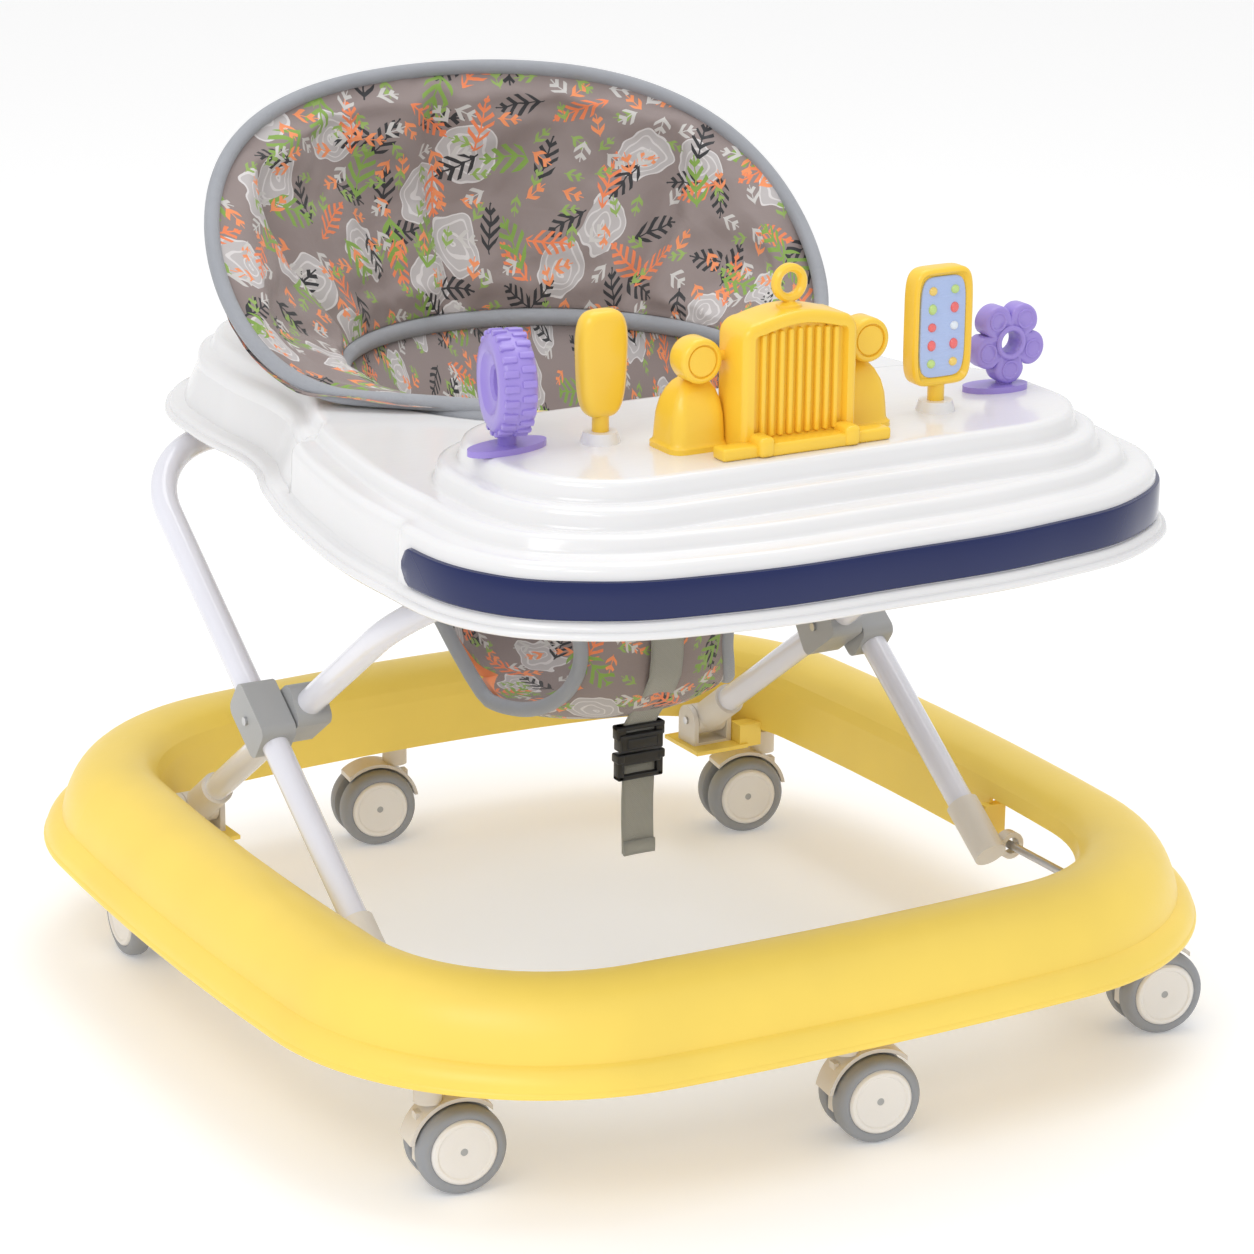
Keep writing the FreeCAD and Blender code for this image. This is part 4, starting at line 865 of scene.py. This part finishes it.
def web_strip(name, line, body):
    """Flat webbing along a side outline of (y, z) points, with a slight curl."""
    bm = bmesh.new()
    uv = bm.loops.layers.uv.new("cloth")
    rows = []
    for y, z in line:
        rows.append([bm.verts.new((STRAP_WIDE * (i / 6 - 0.5), y + 0.5 * math.cos(math.pi * (i / 6 - 0.5)), z))
                     for i in range(7)])
    for j, (first, second) in enumerate(zip(rows, rows[1:])):
        for i in range(6):
            face = bm.faces.new((first[i], first[i + 1], second[i + 1], second[i]))
            for loop in face.loops:
                loop[uv].uv = (loop.vert.co.x * MM + 1, loop.vert.co.z * MM + 1)
    strip = finish_piece(bm, name, sage_webbing, sharp=60)
    thick = strip.modifiers.new("thickness", "SOLIDIFY")
    thick.thickness, thick.offset = STRAP_THICK * MM * 0.9, 0
    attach(strip, body)
    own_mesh(strip)
    return strip


strap_y = sum(corner.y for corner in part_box("strap_tail")) / 2 / MM
top_line = [(-83, 296), (-83.5, 280), (-83.5, 264), (-81, 250), (-74, 238), (-64, 226), (-54, 215),
            (strap_y - 1, 206), (strap_y, 197)]
tail_line = [(strap_y, 176), (strap_y, 165), (strap_y + 0.8, 150), (strap_y + 0.6, 135),
             (strap_y - 0.4, 120), (strap_y - 0.8, 111)]
webbing = web_strip("crotch_webbing", top_line, "tray")
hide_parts("strap_webbing")
tail = web_strip("webbing_tail", tail_line, "buckle")
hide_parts("strap_tail")
web_strip("webbing_tail_fold", [(strap_y - 2.6, 120), (strap_y - 3, 115), (strap_y - 2.6, 110)], "buckle")

BUCKLE_WIDE = 38
buckle_black = moulded("buckle_black", (0.012, 0.012, 0.013), 0.3, grain=1400, depth=0.25)


def bevelled_box(bm, low, high, round_by, segments=3):
    """A box between two corners with every edge rounded."""
    made = bmesh.ops.create_cube(bm, size=1)["verts"]
    size = high - low
    bmesh.ops.scale(bm, verts=made, vec=size)
    bmesh.ops.translate(bm, verts=made, vec=(low + high) / 2)
    edges = {edge for vert in made for edge in vert.link_edges}
    bmesh.ops.bevel(bm, geom=list(edges), offset=round_by, offset_type="OFFSET", segments=segments,
                    profile=0.5, affect="EDGES", material=-1)


def buckle_half(name, boxes, node, body):
    bm = bmesh.new()
    for (x0, y0, z0), (x1, y1, z1) in boxes:
        bevelled_box(bm, Vector((x0, strap_y + y0, z0)), Vector((x1, strap_y + y1, z1)), 1.2)
    piece = finish_piece(bm, name, buckle_black, merge=1e-5)
    ride_as(piece, body, "black_plastic", node)
    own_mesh(piece)


def both_arms(near, far, deep, low, high):
    """The two arms of a buckle, from near to far of its middle, mirrored."""
    return [((-far, -deep, low), (-near, deep, high)), ((near, -deep, low), (far, deep, high))]


half = BUCKLE_WIDE / 2
buckle_half("buckle_female",
            [((-half + 2, -5.5, 187), (half - 2, 5.5, 200))] + both_arms(half - 7, half, 4, 196, 206)
            + [((-half, -4.5, 202.5), (half, 4.5, 206)), ((-12, -6, 189), (12, -4.5, 197))],
            "buckle_socket", "tray")
buckle_half("buckle_male",
            [((-half + 3, -4.5, 177), (half - 3, 4.5, 185.5))] + both_arms(half - 5.5, half, 5, 179, 185.5)
            + [((-half + 1, -4, 166), (half - 1, 4, 170))] + both_arms(half - 6, half - 1, 4, 166, 182),
            "buckle_tongue", "buckle")

# -------------------------------------------------------------- turning toys
# Four toys turn on posts in the deck: a purple tyre and flower on purple
# plates, a yellow pill and a framed panel in white collars. All are moulded.

toy_yellow = moulded("toy_yellow", (0.93, 0.60, 0.05), 0.3, tone=0.04, grain=700, depth=0.1, coat=0.15)
toy_purple = moulded("toy_purple", (0.34, 0.255, 0.68), 0.3, tone=0.05, grain=700, depth=0.1, coat=0.15)
dress(toy_purple, "leaf_plate", "oval_plate")
PLATE_TOP, COLLAR_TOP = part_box("leaf_plate")[1].z / MM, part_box("toy_collars")[1].z / MM


def toy_place(name):
    """Axis of a toy's post, on the floor."""
    x, y, _ = joints[f"{name}_turn"]["pos_m"]
    return Vector((x / MM, y / MM, 0))


def upright_post(bm, place, low, high, radius=5.5):
    lathe(bm, [(0, low), (radius, low), (radius, high - 3), (radius + 1.5, high), (0, high)], place,
          Vector((0, 0, 1)), 32)


def outline_block(bm, outline, place, thick, round_by, segments=4):
    """An upright plate: an outline of (x, z) points given a thickness and rounded edges."""
    count = len(outline)
    verts = [bm.verts.new(place + Vector((x, -thick / 2, z))) for x, z in outline]
    face = bm.faces.new(verts)
    grown = bmesh.ops.extrude_face_region(bm, geom=[face])["geom"]
    new_verts = [item for item in grown if isinstance(item, bmesh.types.BMVert)]
    bmesh.ops.translate(bm, verts=new_verts, vec=(0, thick, 0))
    both = verts + new_verts
    edges = [edge for edge in {e for v in both for e in v.link_edges}
             if abs((edge.verts[0].co - edge.verts[1].co).normalized().y) < 0.5
             and len(edge.link_faces) == 2
             and any(len(link.verts) == count for link in edge.link_faces)]
    bmesh.ops.bevel(bm, geom=edges, offset=round_by, offset_type="OFFSET", segments=segments, profile=0.5,
                    affect="EDGES", material=-1)
    return both


def capsule(half_x, low, high, squareness=2.0, taper=0.0, count=64):
    """Outline of a rounded paddle, narrower towards its foot by taper."""
    middle, half_z = (low + high) / 2, (high - low) / 2
    outline = []
    for i in range(count):
        angle = math.tau * i / count
        x = math.copysign(abs(math.cos(angle)) ** (2 / squareness), math.cos(angle))
        z = math.copysign(abs(math.sin(angle)) ** (2 / squareness), math.sin(angle))
        outline.append((x * half_x * (1 + taper * z), middle + z * half_z))
    return outline


pill_at = toy_place("pill_toy")
bm = bmesh.new()
pill_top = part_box("pill_toy")[1].z / MM
outline_block(bm, capsule(17, COLLAR_TOP + 9, pill_top, 3.4, 0.09), pill_at, 16, 6.5, 6)
upright_post(bm, pill_at, COLLAR_TOP - 14, COLLAR_TOP + 13)
ride_as(finish_piece(bm, "pill_paddle", toy_yellow, merge=1e-4), "pill_toy", "toy_yellow", "pill_toy")

panel_at = toy_place("panel_toy")
panel_low, panel_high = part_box("panel_frame")
panel_bottom, panel_top = COLLAR_TOP + 10.6, panel_high.z / MM
half_wide = (panel_high.x - panel_low.x) / 2 / MM
bm = bmesh.new()
outline_block(bm, capsule(half_wide, panel_bottom, panel_top, 5.5), panel_at, 15, 3)
front_face = max((f for f in bm.faces if f.normal.y < -0.9 or f.normal.y > 0.9),
                 key=lambda f: (f.calc_center_median().y < panel_at.y, f.calc_area()))
bmesh.ops.inset_region(bm, faces=[front_face], thickness=2.6, use_even_offset=True)
bmesh.ops.translate(bm, verts=front_face.verts, vec=(0, 3, 0))
upright_post(bm, panel_at, COLLAR_TOP - 14, COLLAR_TOP + 13)
ride_as(finish_piece(bm, "panel_case", toy_yellow, merge=1e-4), "panel_toy", "toy_yellow", "panel_frame")
panel_blue = moulded("panel_blue", (0.42, 0.53, 0.82), 0.25, tone=0.06, grain=500, depth=0.1, coat=0.3)
bm = bmesh.new()
outline_block(bm, capsule(half_wide - 5.6, panel_bottom + 5.6, panel_top - 5.6, 5),
              panel_at + Vector((0, -4.6, 0)), 2.4, 0.8)
ride_as(finish_piece(bm, "panel_picture", panel_blue, merge=1e-4), "panel_toy", "panel_blue", "panel_face")
BEAD_COLOURS = {"yellow": (0.86, 0.62, 0.16), "red": (0.85, 0.17, 0.17), "green": (0.52, 0.72, 0.26),
                "white": (0.75, 0.82, 0.90)}
BEAD_ORDER = (("green", "yellow"), ("red", "red"), ("red", "white"), ("green", "red"), ("yellow", "green"))
for colour, paint in BEAD_COLOURS.items():
    bm = bmesh.new()
    for row, pair in enumerate(BEAD_ORDER):
        for column, wanted in enumerate(pair):
            if wanted != colour:
                continue
            made = bmesh.ops.create_uvsphere(bm, u_segments=20, v_segments=12, radius=3.1)["verts"]
            rise = panel_bottom + 15 + (panel_top - panel_bottom - 30) * row / 4
            bmesh.ops.scale(bm, verts=made, vec=(1, 0.7, 1.15 if row % 2 else 0.95))
            bmesh.ops.translate(bm, verts=made, vec=panel_at + Vector((17 * (column - 0.5), -5.8, rise)))
    material = moulded(f"bead_{colour}", paint, 0.25, tone=0.08, grain=800, depth=0.1, coat=0.2)
    ride_as(finish_piece(bm, f"panel_beads_{colour}", material, merge=1e-5), "panel_toy", "bead_plastic",
            "panel_beads")

flower_at = toy_place("flower_toy")
flower_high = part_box("flower_toy")[1]
FLOWER_REACH, PETAL, PETALS = 16, 12, 5
flower_middle = flower_high.z / MM - FLOWER_REACH * math.sin(math.radians(54)) - PETAL
bm = bmesh.new()
outline = []
FLOWER_STEPS = 140
for i in range(FLOWER_STEPS):
    angle = math.tau * i / FLOWER_STEPS
    lobe = abs(math.cos(PETALS / 2 * (angle + math.pi / 2)))
    reach = 17.5 + 10.6 * lobe ** 0.55
    outline.append((reach * math.cos(angle), flower_middle + reach * math.sin(angle)))
outline_block(bm, outline, flower_at, 14, 2.4)
caps = [f for f in bm.faces if len(f.verts) == FLOWER_STEPS]
for cap in caps:
    way = 1 if cap.calc_center_median().y > flower_at.y else -1
    bmesh.ops.inset_region(bm, faces=[cap], thickness=1.6, use_even_offset=False)
flower_body = finish_piece(bm, "flower_blossom", toy_purple, merge=1e-4)
bm = bmesh.new()
upright_post(bm, flower_at, PLATE_TOP - 13, PLATE_TOP + 6)
lathe(bm, [(8, 7.6), (9, 8.4), (10.6, 8.4), (11.6, 7.4), (11.6, -7.4), (10.6, -8.4), (9, -8.4),
           (8, -7.6), (8, 7.6)],
      flower_at + Vector((0, 0, flower_middle)), Vector((0, 1, 0)))
for i in range(PETALS):
    angle = math.tau * i / PETALS + math.pi / 2 + math.pi
    spot = flower_at + Vector((18.6 * math.cos(angle), 0, flower_middle + 18.6 * math.sin(angle)))
    for way in (-1, 1):
        lathe(bm, [(0, 6.6), (4.6, 6.8), (5.6, 7.7), (6.4, 7.6), (6.8, 6.6)], spot, Vector((0, way, 0)), 28)
flower_trim = finish_piece(bm, "flower_rims", toy_purple, merge=1e-4)
bm = bmesh.new()
lathe(bm, [(0, -20), (8, -20), (8, 20), (0, 20)], flower_at + Vector((0, 0, flower_middle)), Vector((0, 1, 0)), 48)
flower_cutter = finish_piece(bm, "flower_cutter", toy_purple, merge=1e-4)
hole = flower_body.modifiers.new("hole", "BOOLEAN")
hole.object, hole.solver = flower_cutter, "EXACT"
evaluated(flower_body)
bpy.data.objects.remove(flower_cutter)
ride_as(flower_body, "flower_toy", "purple_plastic", "flower_toy")
ride_as(flower_trim, "flower_toy", "purple_plastic")

tyre_at = toy_place("tyre_toy")
TOY_TYRE, TOY_TYRE_WIDE, TREADS, TYRE_TURN = 34, 25, 22, -12.5
tyre_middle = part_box("tyre_toy")[1].z / MM - TOY_TYRE
tyre_axis = Vector((math.cos(math.radians(TYRE_TURN)), math.sin(math.radians(TYRE_TURN)), 0))
hub_at = tyre_at + Vector((0, 0, tyre_middle))
half = TOY_TYRE_WIDE / 2
bm = bmesh.new()
lathe(bm, [(10, 6), (11.5, 8), (16, 8.4), (18, 9.6), (20, 11.8), (24, half), (28, half - 0.4), (31, half - 2.6),
           (32.4, half - 5.4), (32.8, 0), (32.4, 5.4 - half), (31, 2.6 - half), (28, 0.4 - half), (24, -half),
           (20, -11.8), (18, -9.6), (16, -8.4), (11.5, -8), (10, -6), (10, 6)], hub_at, tyre_axis, 88)
upright_post(bm, tyre_at, PLATE_TOP - 13, tyre_middle - TOY_TYRE + 5, 6)
side_way = tyre_axis.cross(Vector((0, 0, 1)))
for i in range(TREADS):
    angle = math.tau * (i + 0.5) / TREADS
    out = side_way * math.cos(angle) + Vector((0, 0, math.sin(angle)))
    for way in (-1, 1):
        made = bmesh.ops.create_cube(bm, size=1)["verts"]
        bmesh.ops.scale(bm, verts=made, vec=(9.5, 4.6, 3.4))
        edges = list({edge for vert in made for edge in vert.link_edges})
        rounded = bmesh.ops.bevel(bm, geom=edges, offset=1.1, offset_type="OFFSET", segments=2, profile=0.5,
                                  affect="EDGES", material=-1)["verts"]
        tangent = out.cross(tyre_axis)
        turn = Matrix((tyre_axis, tangent, out)).transposed().to_4x4()
        shift = Matrix.Translation(hub_at + out * 32.3 + tyre_axis * way * 5.6 + tangent * 1.4 * way)
        bmesh.ops.transform(bm, verts=rounded, matrix=shift @ turn)
ride_as(finish_piece(bm, "toy_tyre", toy_purple, merge=1e-5), "tyre_toy", "purple_plastic", "tyre_toy")

# ------------------------------------------------------------------ toy car
# The front of a toy motor car is fixed to the middle of the deck: a radiator
# grille with slats, fenders with round lamps, a bumper and a ring ornament.

grille_low, grille_high = (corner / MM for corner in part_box("car_grille"))
car_x = (grille_low.x + grille_high.x) / 2
half = (grille_high.x - grille_low.x) / 2
front, back, foot, top = grille_low.y, grille_high.y, grille_low.z, grille_high.z


def radiator_outline(shrink, low, high):
    """Upright sides, rounded shoulders and a gently arched top."""
    wide, points = half - shrink, [(-(half - shrink), low), (half - shrink, low)]
    shoulder = 12
    for i in range(7):
        angle = math.radians(90 * i / 6)
        points.append((wide - shoulder + shoulder * math.cos(angle), high - 16 + 11 * math.sin(angle)))
    for i in range(1, 12):
        x = (wide - shoulder) * (1 - i / 6)
        points.append((x, high - 5 + 5 * math.cos(math.pi / 2 * x / (wide - shoulder))))
    for i in range(7):
        angle = math.radians(90 + 90 * i / 6)
        points.append((-(wide - shoulder) + shoulder * math.cos(angle), high - 16 + 11 * math.sin(angle)))
    return points


bm = bmesh.new()
depth = back - front
outline_block(bm, radiator_outline(0, foot, top), Vector((car_x, (front + back) / 2, 0)), depth, 4.5, 5)
face = min((f for f in bm.faces if abs(f.normal.y) > 0.99 and len(f.verts) > 20),
           key=lambda f: f.calc_center_median().y)
bmesh.ops.inset_region(bm, faces=[face], thickness=3.2, use_even_offset=True)
bmesh.ops.inset_region(bm, faces=[face], thickness=1.4, use_even_offset=True)
bmesh.ops.translate(bm, verts=face.verts, vec=(0, 4.5, 0))
SLATS, slat_room = 9, 2 * half - 24
for i in range(SLATS):
    x = car_x + slat_room * ((i + 0.5) / SLATS - 0.5)
    rise = top - 15 + 4 * math.cos(math.pi / 2 * (x - car_x) / half)
    slat = slat_room / SLATS * 0.26
    bevelled_box(bm, Vector((x - slat, front + 0.85, foot + 9)), Vector((x + slat, front + 6.35, rise)), 1.5)
ride_as(finish_piece(bm, "car_radiator", toy_yellow, merge=1e-5), "tray", "toy_yellow", "car_grille")

fender_low, fender_high = (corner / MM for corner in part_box("car_fenders"))
fender_wide, lamp_radius = (fender_high.x - fender_low.x) / 2 - half, 14.5
fender_front = fender_low.y
fender_top = fender_high.z - 2 * lamp_radius + 2
bm = bmesh.new()
for side in (-1, 1):
    middle_x = car_x + side * (half + fender_wide / 2 - 1)
    middle_y = fender_front + 19
    rows = []
    for inset, height in ((0, foot), (0, foot + 3.4), (1, foot + 4.4), (1.6, foot + 6), (2, foot + 14),
                          (2.6, foot + 22), (4.2, foot + 30), (7, foot + 37), (10, foot + 41.5),
                          (13.5, foot + 44.5), (16.5, foot + 45.8)):
        row = rounded_row(fender_wide / 2 + 1 - inset, 19 - inset, middle_y + inset * 0.2,
                          max(9 - inset * 0.4, 2.2), height, 8)
        rows.append([point + Vector((middle_x - side * inset * 0.25, 0, 0)) for point in row])
    first, last = rows_of(bm, rows)
    bmesh.ops.triangle_fill(bm, edges=last, use_beauty=True)
    bmesh.ops.triangle_fill(bm, edges=first, use_beauty=True)
    lamp_at = Vector((car_x + side * (half + fender_wide / 2), fender_front + 2, fender_top + lamp_radius - 2))
    lathe(bm, [(0, -1.2), (9.4, -0.9), (9.9, 0.2), (10.5, 0.3), (10.9, -1.6), (12.8, -1.6), (14.2, 0),
               (lamp_radius, 2.4), (lamp_radius, 14), (13.4, 17), (9, 18), (0, 18)], lamp_at, Vector((0, 1, 0)), 48)
    arm = lamp_at + Vector((-side * 21, 9, 0))
    lathe(bm, [(0, 0), (3.4, 0), (3.4, 12), (0, 12)], arm, Vector((side, 0, 0)), 24)
ride_as(finish_piece(bm, "car_wings", toy_yellow, sharp=50, merge=1e-4), "tray", "toy_yellow", "car_fenders")

bumper_low, bumper_high = (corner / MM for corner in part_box("car_bumper"))
span = bumper_high.x - bumper_low.x
bm = bmesh.new()
for start, end, proud, rise in ((0, 0.24, 2, 8), (0.25, 0.75, 0, 8.5), (0.76, 1, 2, 8)):
    bevelled_box(bm, Vector((bumper_low.x + span * start, bumper_low.y + proud, bumper_low.z)),
                 Vector((bumper_low.x + span * end, bumper_high.y + 4, bumper_low.z + rise)), 1.8)
for share in (0.245, 0.755):
    x = bumper_low.x + span * share
    bevelled_box(bm, Vector((x - 5.5, bumper_low.y - 1.5, bumper_low.z)),
                 Vector((x + 5.5, bumper_high.y + 4, bumper_high.z + 1)), 3)
ride_as(finish_piece(bm, "car_bumper_bar", toy_yellow, merge=1e-5), "tray", "toy_yellow", "car_bumper")

ring_low, ring_high = (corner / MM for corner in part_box("car_ornament"))
ring_at = Vector((car_x, (ring_low.y + ring_high.y) / 2, ring_high.z - 12.6))
bm = bmesh.new()
rim_half = [(12.4, 0), (12.2, 2), (10.9, 3.4), (8.6, 3.4), (7.2, 2.2), (6.6, 0)]
circle = rim_half + [(radius, -height) for radius, height in rim_half[-2::-1]]
lathe(bm, circle, ring_at, Vector((0, 1, 0)), 48)
lathe(bm, [(0, 0), (8.5, 0), (8.2, 1.6), (5, 2.6), (3.4, 3.4), (3.2, 6), (0, 6)],
      Vector((car_x, ring_at.y, top - 0.6)), Vector((0, 0, 1)), 36)
ride_as(finish_piece(bm, "car_ring", toy_yellow, merge=1e-4), "tray", "toy_yellow", "car_ornament")
